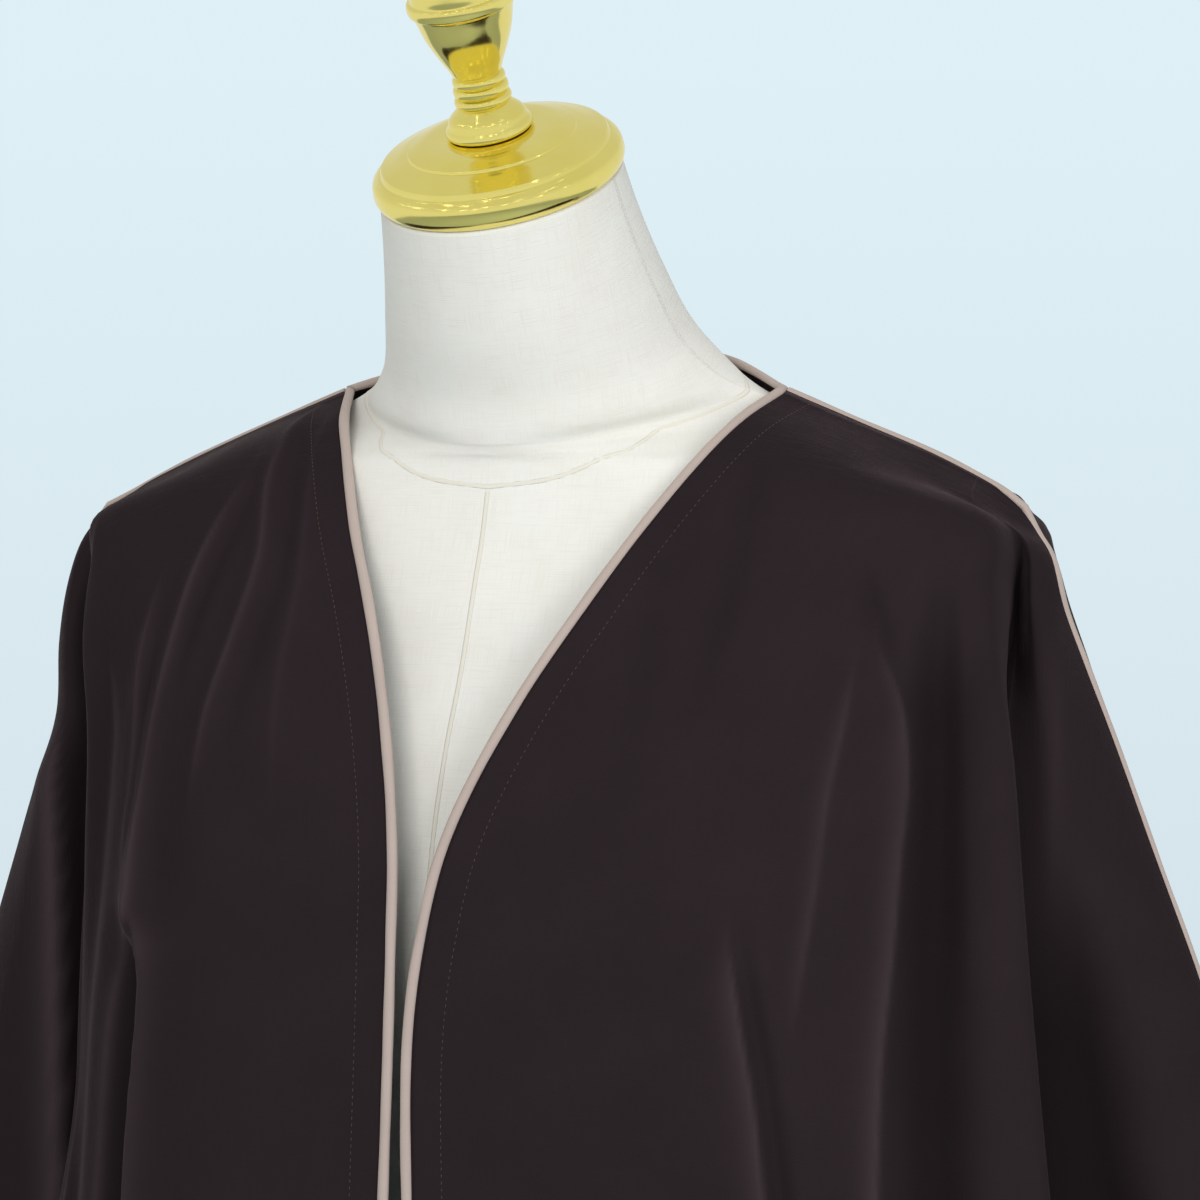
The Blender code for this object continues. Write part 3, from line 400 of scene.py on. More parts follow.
def through(points, places, softness=None):
    """A smooth curve whose spacing is the root of the points' distances, so that it never overshoots."""
    points = np.asarray(points, float)
    spacing = np.sqrt(np.maximum(np.linalg.norm(np.diff(points, axis=0), axis=1), 1e-9))
    return smooth_curve(points, spacing, places, softness)


def places_of(steps, first=0):
    """Curve places with the given number of steps in each stretch."""
    stretches = [first + number + np.arange(1, count + 1) / count for number, count in enumerate(steps)]
    return np.concatenate([np.array([float(first)])] + stretches)


def ramp(value, start, end):
    """0 at start, 1 at end and beyond, with soft ends: 3 t squared less 2 t cubed."""
    t = np.clip((value - start) / (end - start), 0.0, 1.0)
    return t * t * (3 - 2 * t)


def grid_normals(grid):
    """Outward directions: the cross product of the steps down and along the grid."""
    return unit(np.cross(np.gradient(grid, axis=0), np.gradient(grid, axis=1)))


def run_length(path):
    """Distance along lines of points; the points run along the last axis but one."""
    steps = np.linalg.norm(np.diff(path, axis=-2), axis=-1)
    return np.concatenate((np.zeros(steps.shape[:-1] + (1,)), np.cumsum(steps, axis=-1)), axis=-1)


# %% Meshes from arrays
def add_mesh(name, points, faces, uv, material, node=None, extra=(), lie=None):
    """A piece of the object from arrays of points and quads, with its UV in metres at each point.

    extra holds more faces, a group for each number of corners. The last argument is crepe's second UV: its
    shares of painted highlight and painted shade.
    """
    mesh = bpy.data.meshes.new(name)
    groups = (faces,) + tuple(extra)
    corners = np.concatenate([np.asarray(group).reshape(-1) for group in groups])
    sizes = np.concatenate([np.full(len(group), np.shape(group)[1]) for group in groups])
    starts = np.concatenate(((0,), np.cumsum(sizes)[:-1]))
    mesh.vertices.add(len(points))
    mesh.vertices.foreach_set("co", np.asarray(points, np.float32).ravel())
    mesh.loops.add(len(corners))
    mesh.loops.foreach_set("vertex_index", corners.astype(np.int32))
    mesh.polygons.add(len(sizes))
    mesh.polygons.foreach_set("loop_start", starts.astype(np.int32))
    mesh.polygons.foreach_set("loop_total", sizes.astype(np.int32))
    for layer, values in (("cloth", uv), ("lie", lie)):
        if values is not None:
            made = mesh.uv_layers.new(name=layer)
            made.data.foreach_set("uv", np.asarray(values, np.float32)[corners].ravel())
    mesh.update(calc_edges=True)
    mesh.validate()
    mesh.polygons.foreach_set("use_smooth", np.full(len(mesh.polygons), True))
    mesh.materials.append(materials[material])
    piece = new_object(name, mesh)
    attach(piece, "root")
    if node is not None:
        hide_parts(node)
    print(f"{name}: {len(points)} points, {int((sizes - 2).sum())} triangles")
    return piece


def quads_of(numbers, closed=False):
    """Quads of a grid of point numbers; closed joins the last column to the first."""
    if closed:
        numbers = np.concatenate((numbers, numbers[:, :1]), axis=1)
    return np.stack((numbers[:-1, :-1], numbers[:-1, 1:], numbers[1:, 1:], numbers[1:, :-1]),
                    axis=-1).reshape(-1, 4)


def angles(sides):
    """Equal angles round a circle, in radians."""
    return 2 * np.pi * np.arange(sides) / sides


def rings_and_fans(rings):
    """Quads between closed rings of points, and the triangles that close both ends.

    The rings' points are numbered first, then the middle of the first ring and of the last.
    """
    count, sides = rings.shape[:2]
    numbers = np.arange(count * sides).reshape(-1, sides)
    ahead, first = np.roll(numbers, -1, axis=1), np.full(sides, count * sides)
    fans = np.concatenate((np.stack((first, ahead[0], numbers[0]), axis=-1),
                           np.stack((first + 1, numbers[-1], ahead[-1]), axis=-1)))
    return quads_of(numbers, closed=True), fans


def add_tube(name, path, wide, high, material, sides, node=None):
    """A closed cord: an ellipse with half axes wide and high, carried along the path."""
    angle = angles(sides)
    rings = path[:, None] + np.cos(angle)[:, None] * wide[:, None] + np.sin(angle)[:, None] * high[:, None]
    quads, fans = rings_and_fans(rings)
    girth = angle * np.linalg.norm(wide[0])
    uv = np.stack(np.broadcast_arrays(girth[None, :], run_length(path)[:, None]), axis=-1).reshape(-1, 2)
    return add_mesh(name, np.concatenate((rings.reshape(-1, 3), path[:1], path[-1:])), quads,
                    np.concatenate((uv, uv[:1], uv[-1:])), material, node, extra=(fans,))


# %% [markdown]
# ## The lie of the cloth
#
# A worn kimono cut is a ring at every height. From the front edge the cloth goes over the chest to
# the front fold, dips into the valley in front of the arm, runs out over the sleeve to the overarm
# seam and comes back behind. Below the underarm the ring parts into a body ring and a sleeve ring.
# The flat pattern could be bent round the body instead, but then no one number says where the cloth
# ends up. The tables give the named points of eleven rings, a row for each, so each can be set alone.

# %% Section tables
Front = namedtuple("Front", "seam_z edge_z edge_y edge_left edge_right chest_y "
                            "ridge_y ridge_left ridge_right")
FRONT_SECTIONS = (
    Front(1.3975, 1.4428, -.033, .0992, .0861, -.042, -.030, .1800, .1800),
    Front(1.3880, 1.4280, -.053, .0912, .0745, -.062, -.043, .2080, .2000),
    Front(1.3660, 1.3970, -.079, .0739, .0573, -.085, -.063, .2150, .1908),
    Front(1.3440, 1.3670, -.099, .0582, .0407, -.101, -.072, .2200, .1905),
    Front(1.3150, 1.3315, -.118, .0399, .0254, -.115, -.076, .2285, .1903),
    Front(1.2620, 1.2686, -.138, .0143, .0108, -.130, -.084, .2368, .1900),
    Front(1.2305, 1.2330, -.143, .0077, .0092, -.135, -.087, .2405, .1905),
    Front(1.1000, 1.1000, -.152, .0070, .0096, -.143, -.094, .2560, .1950),
    Front(1.0200, 1.0200, -.156, .0075, .0105, -.148, -.099, .2660, .2040),
    Front(0.7850, 0.7850, -.170, .0105, .0135, -.166, -.120, .2920, .2500),
    Front(0.0450, 0.0450, -.238, .0200, .0230, -.245, -.195, .3800, .3700),
)
Sleeve = namedtuple("Sleeve", "valley_y_left valley_y_right valley_left valley_right seam_left seam_right "
                              "fullness")
SLEEVE_SECTIONS = (
    Sleeve(-.0250, -.0250, .1990, .2020, .2180, .2275, .003),
    Sleeve(-.0180, -.0240, .2130, .2120, .2238, .2330, .006),
    Sleeve(-.0080, -.0340, .2115, .1990, .2298, .2385, .015),
    Sleeve(-.0170, -.0370, .2125, .1890, .2384, .2425, .018),
    Sleeve(-.0400, -.0370, .2160, .1820, .2499, .2448, .018),
    Sleeve(-.0600, -.0340, .2180, .1780, .2698, .2636, .018),
    Sleeve(-.0620, -.0300, .2180, .1780, .2820, .2745, .020),
    Sleeve(-.0500, -.0150, .2140, .1880, .3250, .3180, .027),
    Sleeve(-.0022, -.0022, .1990, .1990, .3520, .3490, .031),
    Sleeve(0.0000, 0.0000, .2200, .2200, .4250, .4220, .034),
    Sleeve(0.0000, 0.0000, .4400, .4400, .4250, .4220, .036),
)
Back = namedtuple("Back", "valley_x valley_y ridge_x ridge_y blade_y neck_x neck_y centre_y")
BACK_SECTIONS = (
    Back(.1960, .026, .1800, .038, .044, .108, .045, .066),
    Back(.2100, .028, .1950, .049, .061, .110, .063, .074),
    Back(.2140, .034, .2030, .060, .076, .112, .079, .086),
    Back(.2160, .037, .2060, .069, .086, .113, .089, .095),
    Back(.2140, .038, .2100, .078, .097, .114, .099, .104),
    Back(.2060, .036, .2150, .089, .109, .115, .111, .114),
    Back(.2040, .032, .2190, .094, .114, .115, .115, .118),
    Back(.1990, .015, .2340, .107, .125, .117, .126, .128),
    Back(.1990, .0022, .2440, .113, .131, .119, .132, .134),
    Back(.2200, 0.00, .2850, .134, .154, .125, .156, .157),
    Back(.4400, 0.00, .3900, .205, .240, .150, .250, .250),
)
UNDERARM_ROW, CUFF_ROW = 9, 10          # rows count from the shoulder seam, which is row 0
VALLEY_SOFTNESS = {UNDERARM_ROW - 1: 0.5, UNDERARM_ROW: 0.0}
UNDERARM_DROP = 1.5                     # how far the underarm's outward direction leans down
CUFF_UNDERSIDE = 0.2420
CUFF_SLOPE = 0.17                       # rise of the cuff line per metre, outwards
HEM_Z = 0.045
# Shares of the way from one named point to the next: the chest from edge to fold, the blade from neck
# to back fold, the mid neck and its depth from neck to centre, and where a sleeve stands out most.
CHEST_SHARE, BLADE_SHARE, NECK_MID_SHARE, NECK_MID_DEPTH = 0.55, 0.50, 0.55, 0.60
SLEEVE_PEAK = {"left": 0.50, "right": 0.68}
SLEEVE_MIDDLE = 0.50
BEHIND_SHARE = 0.5                      # how full the sleeve is behind, as a share of its front
SHOULDER_SHARES = (0.0, 0.30, 0.62, 0.80, 0.91, 1.0)
NECK_MID = (0.059, 0.044, 1.4715)
NECK_CENTRE = (0.0, 0.056, 1.4745)
SHOULDER_SEAM = {
    "left": ((0.1050, 1.4575), (0.1359, 1.4450), (0.1578, 1.4371), (0.1796, 1.4276), (0.2011, 1.4168),
             (0.2119, 1.4089)),
    "right": ((0.1048, 1.4587), (0.1421, 1.4437), (0.1674, 1.4328), (0.1879, 1.4247), (0.2034, 1.4157),
              (0.2200, 1.4080)),
}
SHOULDER_SEAM_Y = (0.0097, 0.0)

# %% Grid steps
FRONT_STEPS = (60, 80, 30)              # edge to chest, to front fold, to valley or side seam
BACK_STEPS = (12, 26, 20)               # valley or side seam to back fold, to blade, to neck column
SLEEVE_STEPS = (26, 20)                 # valley or underside to sleeve middle, to overarm seam
NECK_STEPS = (10, 10)                   # neck column to mid neck, to centre back
ROW_STEPS = (8, 5, 10, 10, 12, 22, 12, 44, 10, 20, 40)
BODY_COLUMNS, ARM_COLUMNS, REAR_COLUMNS = sum(FRONT_STEPS), sum(SLEEVE_STEPS), sum(BACK_STEPS)
NECK_COLUMNS = sum(NECK_STEPS)
UNDERARM = sum(ROW_STEPS[:UNDERARM_ROW])        # the grid row of the underarm
print("underarm row:", UNDERARM, "of", sum(ROW_STEPS))


# %% Named points and rings
def shoulder_row(side):
    """The shoulder seam at the columns edge, chest, fold, valley, sleeve middle and tip."""
    seam, share = np.array(SHOULDER_SEAM[side]), np.array(SHOULDER_SHARES)
    x = seam[0, 0] + (seam[-1, 0] - seam[0, 0]) * share
    y = SHOULDER_SEAM_Y[0] + (SHOULDER_SEAM_Y[1] - SHOULDER_SEAM_Y[0]) * share
    return np.column_stack((x, y, np.interp(x, seam[:, 0], seam[:, 1])))


def control_points(row, side):
    """The named points (x, y) of a section row, as a dict."""
    front, sleeve, back = FRONT_SECTIONS[row - 1], SLEEVE_SECTIONS[row - 1], BACK_SECTIONS[row - 1]
    edge = (getattr(front, "edge_" + side), front.edge_y)
    ridge = (getattr(front, "ridge_" + side), front.ridge_y)
    neck_mid = (NECK_MID_SHARE * back.neck_x,
                back.neck_y + NECK_MID_DEPTH * (back.centre_y - back.neck_y))
    return {
        "edge": edge, "chest": (edge[0] + CHEST_SHARE * (ridge[0] - edge[0]), front.chest_y),
        "ridge": ridge, "valley": (getattr(sleeve, "valley_" + side), getattr(sleeve, "valley_y_" + side)),
        "seam": (getattr(sleeve, "seam_" + side), 0.0),
        "back_valley": (back.valley_x, back.valley_y), "back_ridge": (back.ridge_x, back.ridge_y),
        "blade": (back.neck_x + BLADE_SHARE * (back.ridge_x - back.neck_x), back.blade_y),
        "neck": (back.neck_x, back.neck_y), "neck_mid": neck_mid, "centre": (0.0, back.centre_y),
        "centre_mirrored": (-neck_mid[0], neck_mid[1]),
    }


def sleeve_point(inner, seam, peak, fullness, toward):
    """The middle of a sleeve's front or back: between two points, pushed out by its fullness."""
    return tuple(a + peak * (b - a) + push for a, b, push in zip(inner, seam, (0.0, toward * fullness)))


PIECES = ("body_front", "sleeve_front", "sleeve_back", "body_back")
BODY_NAMES = ("edge", "chest", "ridge", "valley")
BACK_NAMES = ("back_valley", "back_ridge", "blade", "neck", "neck_mid", "centre", "centre_mirrored")


def section_rings(side):
    """Four lists of rings, one for each cloth piece of a side, with a ring for each section row."""
    top = shoulder_row(side)
    shoulder = through(top, places_of(FRONT_STEPS + SLEEVE_STEPS))
    behind = through(top, places_of(BACK_STEPS[::-1] + SLEEVE_STEPS))
    neck = through((top[0], NECK_MID, NECK_CENTRE, (-NECK_MID[0],) + NECK_MID[1:]), places_of(NECK_STEPS))
    low, high = shoulder[-1, 2], shoulder[0, 2]
    climb = (np.concatenate((shoulder[:, 2], behind[-2::-1, 2], neck[1:, 2])) - low) / (high - low)
    cuts = np.cumsum((0, BODY_COLUMNS, ARM_COLUMNS, ARM_COLUMNS, REAR_COLUMNS + NECK_COLUMNS))
    whole = np.concatenate((shoulder, behind[-2::-1], neck[1:]))
    rings = {name: [whole[a:b + 1]] for name, a, b in zip(PIECES, cuts, cuts[1:])}
    for row in range(1, len(FRONT_SECTIONS) + 1):
        section, fullness = FRONT_SECTIONS[row - 1], SLEEVE_SECTIONS[row - 1].fullness
        p = control_points(row, side)
        if row <= UNDERARM_ROW:
            ahead = sleeve_point(p["valley"], p["seam"], SLEEVE_PEAK[side], fullness, -1)
            behind = sleeve_point(p["back_valley"], p["seam"], SLEEVE_MIDDLE, BEHIND_SHARE * fullness, 1)
            points = [p[n] for n in BODY_NAMES] + [ahead, p["seam"], behind] + [p[n] for n in BACK_NAMES]
            softness = np.ones(len(points))
            softness[[len(BODY_NAMES) - 1, len(BODY_NAMES) + 3]] = VALLEY_SOFTNESS.get(row, 1.0)
            steps = FRONT_STEPS + SLEEVE_STEPS + SLEEVE_STEPS[::-1] + BACK_STEPS + NECK_STEPS
            plan = through(points, places_of(steps), softness)
            ring = np.column_stack((plan, section.seam_z + (section.edge_z - section.seam_z) * climb))
            for name, a, b in zip(PIECES, cuts, cuts[1:]):
                rings[name].append(ring[a:b + 1])
            continue
        points = [p[n] for n in BODY_NAMES + BACK_NAMES[1:]]
        plan = through(points, places_of(FRONT_STEPS + BACK_STEPS + NECK_STEPS))
        ring = np.column_stack((plan, np.full(len(plan), section.seam_z)))
        rings["body_front"].append(ring[:BODY_COLUMNS + 1])
        rings["body_back"].append(ring[BODY_COLUMNS:])
        if row == CUFF_ROW:
            under = (CUFF_UNDERSIDE, 0.0)
            ahead = sleeve_point(under, p["seam"], SLEEVE_MIDDLE, fullness, -1)
            behind = sleeve_point(under, p["seam"], SLEEVE_MIDDLE, fullness, 1)
            loop = (behind, under, ahead, p["seam"], behind, under, ahead)
            plan = through(loop, places_of(SLEEVE_STEPS + SLEEVE_STEPS[::-1], first=1))
            z = section.seam_z + CUFF_SLOPE * (plan[:, 0] - 0.5 * (under[0] + p["seam"][0]))
            ring = np.column_stack((plan, z))
            rings["sleeve_front"].append(ring[:ARM_COLUMNS + 1])
            rings["sleeve_back"].append(ring[ARM_COLUMNS:])
    return {name: np.array(rows) for name, rows in rings.items()}


print("section rows:", len(FRONT_SECTIONS), "and the shoulder seam")

# %% [markdown]
# ## Folds and creases
#
# Heavy crepe falls in two orders of folds. The large ones open towards the hem and are the same as in
# the solids. The finer ones start where the cloth is held, at the neck, the shoulder and the arm, and
# each is a line down the cloth with its own depth and with one side steeper than the other. They
# could be sculpted by hand or left to noise. A line with numbers can be moved, deepened or taken out
# without touching its neighbours: it pushes the cloth out, or in where its depth is negative, by a
# bell curve of the distance across it.

# %% Large folds
Fold = namedtuple("Fold", "side upper lower top full depth reach")
FOLDS = (
    Fold("left", 0.35, 0.25, 1.000, 0.100, 0.022, 0.26),
    Fold("left", 0.85, 0.80, 1.100, 0.100, 0.020, 0.26),
    Fold("left", 1.40, 1.45, 1.150, 0.100, 0.028, 0.28),
    Fold("left", 2.45, 2.50, 0.780, 0.100, 0.024, 0.36),
    Fold("right", 0.40, 0.35, 1.050, 0.100, 0.024, 0.28),
    Fold("right", 1.00, 0.95, 1.100, 0.100, 0.024, 0.28),
    Fold("right", 2.45, 2.50, 0.780, 0.100, 0.024, 0.36),
    Fold("both", 3.55, 3.50, 0.780, 0.100, 0.024, 0.36),
    Fold("both", 4.50, 4.45, 1.150, 0.100, 0.024, 0.28),
    Fold("both", 5.40, 5.30, 1.200, 0.100, 0.022, 0.28),
    Fold("both", 6.60, 6.50, 1.150, 0.100, 0.026, 0.45),
)


def fold_waves(columns, heights, side):
    """Sum of bells across the columns, each growing downwards from its top to its full depth."""
    out = np.zeros(heights.shape)
    for fold in FOLDS:
        if fold.side in (side, "both"):
            share = np.clip((fold.top - heights) / (fold.top - HEM_Z), 0.0, 1.0)
            middle = fold.upper + (fold.lower - fold.upper) * share
            out += (fold.depth * ramp(heights, fold.top, fold.full)
                    * np.exp(-((columns - middle) / fold.reach) ** 2))
    return out


# %% Fine creases
# Each group is for one side and one or two of its grids. line holds (height, distance from the middle
# plane) pairs from the top down. inner and outer are the half widths towards the middle and away from
# it. power 2 makes a round crease and 1 a sharp one. fades are the run-in above and the run-out below,
# and a share of each lies past the line's end. A crease starts narrow and widens over its run-in.
START_WIDTH, PAST_END = 0.4, 0.3
CREST_DEPTH, HOLLOW_DEPTH = 0.0055, 0.0200      # the crease depths that give a full painted highlight on a crest and full painted shade in a hollow
CREST_WIDTH, CREST_POWER = 0.30, 1.2            # the painted highlight's share of the crease's width, and its bell
NO_CREST, FULL_CREST = 2.2, 1.3                 # the powers of a crease with no painted highlight and with a full one
Crease = namedtuple("Crease", "depth inner outer power fades line")
CREASES = {
    ("left", "body_front"): (
        # the fold from the bust with its sharp outer side, and the hollow beyond it
        Crease(.0045, .014, .0045, 1.3, (.040, .30), (
            (1.360, .1800), (1.331, .1925), (1.304, .1967), (1.274, .1957), (1.240, .1946),
            (1.194, .1918), (1.146, .1918), (1.00, .200), (0.80, .215))),
        Crease(-.0130, .0130, .0125, 2.0, (.060, .40), (
            (1.380, .2030), (1.359, .2048), (1.321, .2095), (1.275, .2105), (1.220, .2115),
            (1.145, .2140), (1.00, .223), (0.80, .250))),
        Crease(.0030, .0055, .0060, 2.0, (.030, .06), (
            (1.375, .2080), (1.353, .2130), (1.321, .2170), (1.270, .2210), (1.22, .224))),
        # short creases over the chest
        Crease(.0026, .011, .0040, 1.3, (.030, .05), (
            (1.350, .1740), (1.325, .1718), (1.297, .1681), (1.260, .1653), (1.240, .1631),
            (1.210, .160))),
        Crease(-.0030, .0050, .0050, 1.8, (.020, .025), (
            (1.388, .1690), (1.379, .1735), (1.355, .1835), (1.331, .1890), (1.315, .190))),
        Crease(-.0020, .008, .008, 2.0, (.020, .05), (
            (1.430, .1130), (1.400, .1155), (1.372, .1163), (1.330, .1100))),
        Crease(-.0016, .012, .010, 2.0, (.030, .06), (
            (1.380, .0850), (1.340, .0855), (1.290, .0820))),
        # the sharp fold at the waist, the hollow beside it and the soft roll beyond
        Crease(.0040, .018, .0030, 1.3, (.030, .50), (
            (1.246, .1338), (1.239, .1349), (1.212, .1397), (1.179, .1461), (1.145, .1507),
            (1.00, .170), (0.60, .215))),
        Crease(-.0035, .0030, .0060, 1.6, (.050, .50), (
            (1.243, .1390), (1.239, .1396), (1.212, .1448), (1.179, .1515), (1.145, .1565),
            (1.00, .178), (0.60, .224))),
        Crease(.0028, .012, .016, 2.0, (.060, .40), (
            (1.250, .1455), (1.220, .1500), (1.183, .1570), (1.149, .1640), (1.00, .186))),
    ),
    ("left", "sleeve_front"): (
        # a soft roll beyond the slit at the top of the arm, and the wide hollow below
        Crease(.0030, .006, .010, 2.0, (.030, .08), (
            (1.380, .2270), (1.355, .2307), (1.308, .2359), (1.253, .2400))),
        Crease(-.0150, .036, .0120, 2.0, (.070, .25), (
            (1.260, .2440), (1.225, .2510), (1.184, .2590), (1.135, .2670), (1.00, .291),
            (0.82, .318))),
    ),
    ("right", "body_front"): (
        # thin rolls fanning out from the neck
        Crease(.0028, .0045, .0060, 1.3, (.020, .06), (
            (1.456, .1110), (1.420, .1040), (1.387, .0948), (1.353, .0972), (1.322, .1031),
            (1.290, .107))),
        Crease(-.0016, .006, .005, 2.0, (.020, .06), (
            (1.448, .0990), (1.420, .0935), (1.387, .0860), (1.353, .0880), (1.310, .094))),
        Crease(.0014, .005, .008, 1.6, (.030, .06), (
            (1.441, .0931), (1.410, .0820), (1.376, .0735), (1.338, .0715), (1.290, .0669))),
        Crease(.0032, .0045, .0065, 1.3, (.050, .06), (
            (1.425, .1140), (1.393, .1215), (1.360, .1262), (1.329, .1300), (1.296, .1330),
            (1.266, .1340), (1.245, .1340))),
        Crease(-.0022, .0050, .0040, 2.0, (.030, .03), (
            (1.424, .1080), (1.393, .1155), (1.360, .1215), (1.335, .126))),
        Crease(.0028, .0040, .0065, 1.3, (.030, .04), (
            (1.378, .1430), (1.363, .1432), (1.340, .1440), (1.312, .1420), (1.285, .1418),
            (1.262, .1405))),
        Crease(-.0018, .0040, .0040, 2.0, (.030, .03), (
            (1.350, .1375), (1.329, .1395), (1.300, .1412), (1.275, .1430))),
        # the sharp fold at the waist, the deep hollow outside it and the roll beyond
        Crease(.0042, .022, .0030, 1.3, (.018, .50), (
            (1.240, .1320), (1.236, .1310), (1.231, .1297), (1.218, .1280), (1.192, .1288),
            (1.155, .1318), (1.124, .1338), (1.00, .145), (0.60, .187))),
        Crease(-.0110, .0060, .0150, 1.8, (.030, .50), (
            (1.240, .1400), (1.231, .1385), (1.218, .1365), (1.192, .1375), (1.155, .1415),
            (1.124, .1435), (1.00, .155), (0.60, .203))),
        Crease(.0075, .0080, .0110, 1.4, (.050, .40), (
            (1.285, .1335), (1.266, .1340), (1.242, .1350), (1.207, .1450), (1.177, .1490),
            (1.118, .1535), (0.90, .174), (0.60, .213))),
        Crease(-.0050, .010, .012, 2.0, (.040, .30), (
            (1.350, .1700), (1.310, .1665), (1.262, .1665), (1.190, .1720), (1.118, .1760),
            (0.90, .195))),
        Crease(.0030, .0060, .0050, 1.5, (.030, .20), (
            (1.400, .1940), (1.366, .1850), (1.332, .1815), (1.292, .1800), (1.243, .1805),
            (1.183, .1835), (1.113, .1840), (0.90, .205))),
    ),
    ("right", "body_front sleeve_front"): (
        # the valley in front of the right arm is deeper than the solids show, and a roll stands beyond it
        Crease(-.0090, .009, .010, 2.0, (.018, .10), (
            (1.395, .2140), (1.366, .2040), (1.344, .1960), (1.315, .1900), (1.262, .1860),
            (1.20, .1860), (1.10, .1900))),
    ),
    ("right", "sleeve_front"): (
        Crease(-.0110, .014, .0050, 2.0, (.040, .30), (
            (1.375, .2150), (1.330, .2150), (1.280, .2150), (1.191, .2155), (1.095, .2190),
            (0.85, .238))),
        Crease(.0100, .0045, .0240, 1.3, (.030, .30), (
            (1.310, .2260), (1.280, .2255), (1.254, .2250), (1.191, .2260), (1.095, .2300),
            (0.85, .255))),
    ),
    ("left", "body_back sleeve_back"): (
        # the back rises behind the tip of the left shoulder
        Crease(.0050, .012, .010, 2.0, (.020, .02), (
            (1.432, .1960), (1.415, .2080), (1.402, .2150), (1.392, .2200))),
    ),
}


def crease_waves(grid, piece, side):
    """Sum of bells across the creases' lines, each faded in and out along its line.

    The second result holds, from 0 to 1, each point's share of painted highlight on a crest and of painted
    shade in a hollow.
    """
    x, z = grid[..., 0], grid[..., 2]
    out, lie = np.zeros(x.shape), np.zeros(x.shape + (2,))
    groups = [group for (where, pieces), group in CREASES.items()
              if where == side and piece in pieces.split()]
    for crease in sum(groups, ()):
        line = np.array(crease.line)
        place = np.interp(-z.ravel(), -line[:, 0], np.arange(len(line)))
        middle = smooth_curve(line[:, 1:], -np.diff(line[:, 0]), place).reshape(z.shape)
        above, below = crease.fades
        start = ramp(z, line[0, 0] + PAST_END * above, line[0, 0] - above)
        shown = start * ramp(z, line[-1, 0] - PAST_END * below, line[-1, 0] + (1 - PAST_END) * below)
        gap = x - middle
        width = np.where(gap < 0, crease.inner, crease.outer) * (START_WIDTH + (1 - START_WIDTH) * start)
        out += crease.depth * shown * np.exp(-np.abs(gap / width) ** crease.power)
        # painted highlight along the crest of a raised crease, painted shade along a hollow
        if crease.depth > 0:
            share = crease.depth / CREST_DEPTH * (NO_CREST - crease.power) / (NO_CREST - FULL_CREST)
            lie[..., 0] += share * shown * np.exp(-np.abs(gap / (CREST_WIDTH * width)) ** CREST_POWER)
        else:
            lie[..., 1] -= crease.depth / HOLLOW_DEPTH * shown * np.exp(-np.abs(gap / width) ** 2)
    return out, np.clip(lie, 0.0, 1.0)


print(len(FOLDS), "large folds and", sum(map(len, CREASES.values())), "creases")


# %% One side's cloth
CREASED_FROM = 0.45     # this far down the first stretch of rows a crease has its full depth
# Which column of the first grid meets which of the second: at the plain seams, and at the valleys.
SEAM_PAIRS = (("body_front", "body_back", -1, 0), ("sleeve_front", "sleeve_back", 0, -1))
VALLEY_PAIRS = (("sleeve_front", "body_front", 0, -1), ("sleeve_back", "body_back", -1, 0))
FOLD_PLACES = {"body_front": places_of(FRONT_STEPS),
               "body_back": places_of(BACK_STEPS + NECK_STEPS, first=len(FRONT_STEPS))}


def draped_grids(side):
    """A side's four grids with their folds and creases, on +X, and each grid's shares of painted highlight
    and painted shade.

    Creases fade out at the shoulder and at the overarm seam, so that the pieces meet there.
    """
    tables = section_rings(side)
    spacing = np.linalg.norm(np.diff(tables["body_front"], axis=0), axis=2).mean(axis=1)
    rows_free = ramp(places_of(ROW_STEPS), 0.0, CREASED_FROM)[:, None]
    arm_free = ramp(np.arange(ARM_COLUMNS + 1), ARM_COLUMNS, SLEEVE_STEPS[0])[None, :]
    free = {"sleeve_front": arm_free, "sleeve_back": arm_free[:, ::-1]}
    grids, painted_lights = {}, {}
    for name, rings in tables.items():
        count = len(rings) - 1
        grid = smooth_curve(rings, spacing[:count], places_of(ROW_STEPS[:count]))
        outward = grid_normals(grid)
        creases, lie = crease_waves(grid, name, side)
        share = rows_free[:len(grid)] * free.get(name, 1.0)
        if name in FOLD_PLACES:
            waves = fold_waves(FOLD_PLACES[name][None, :], grid[..., 2], side)
            grid += unit(outward * (1, 1, 0)) * waves[..., None]
        grids[name] = grid + outward * (creases * share)[..., None]
        painted_lights[name] = lie * share[..., None]
    for front, back, first, last in SEAM_PAIRS:
        middle = 0.5 * (grids[front][UNDERARM + 1:, first] + grids[back][UNDERARM + 1:, last])
        grids[front][UNDERARM + 1:, first] = grids[back][UNDERARM + 1:, last] = middle
    for sleeve, body, first, last in VALLEY_PAIRS:
        for kept in (grids, painted_lights):
            kept[sleeve][:UNDERARM + 1, first] = kept[body][:UNDERARM + 1, last]
    return grids, painted_lights


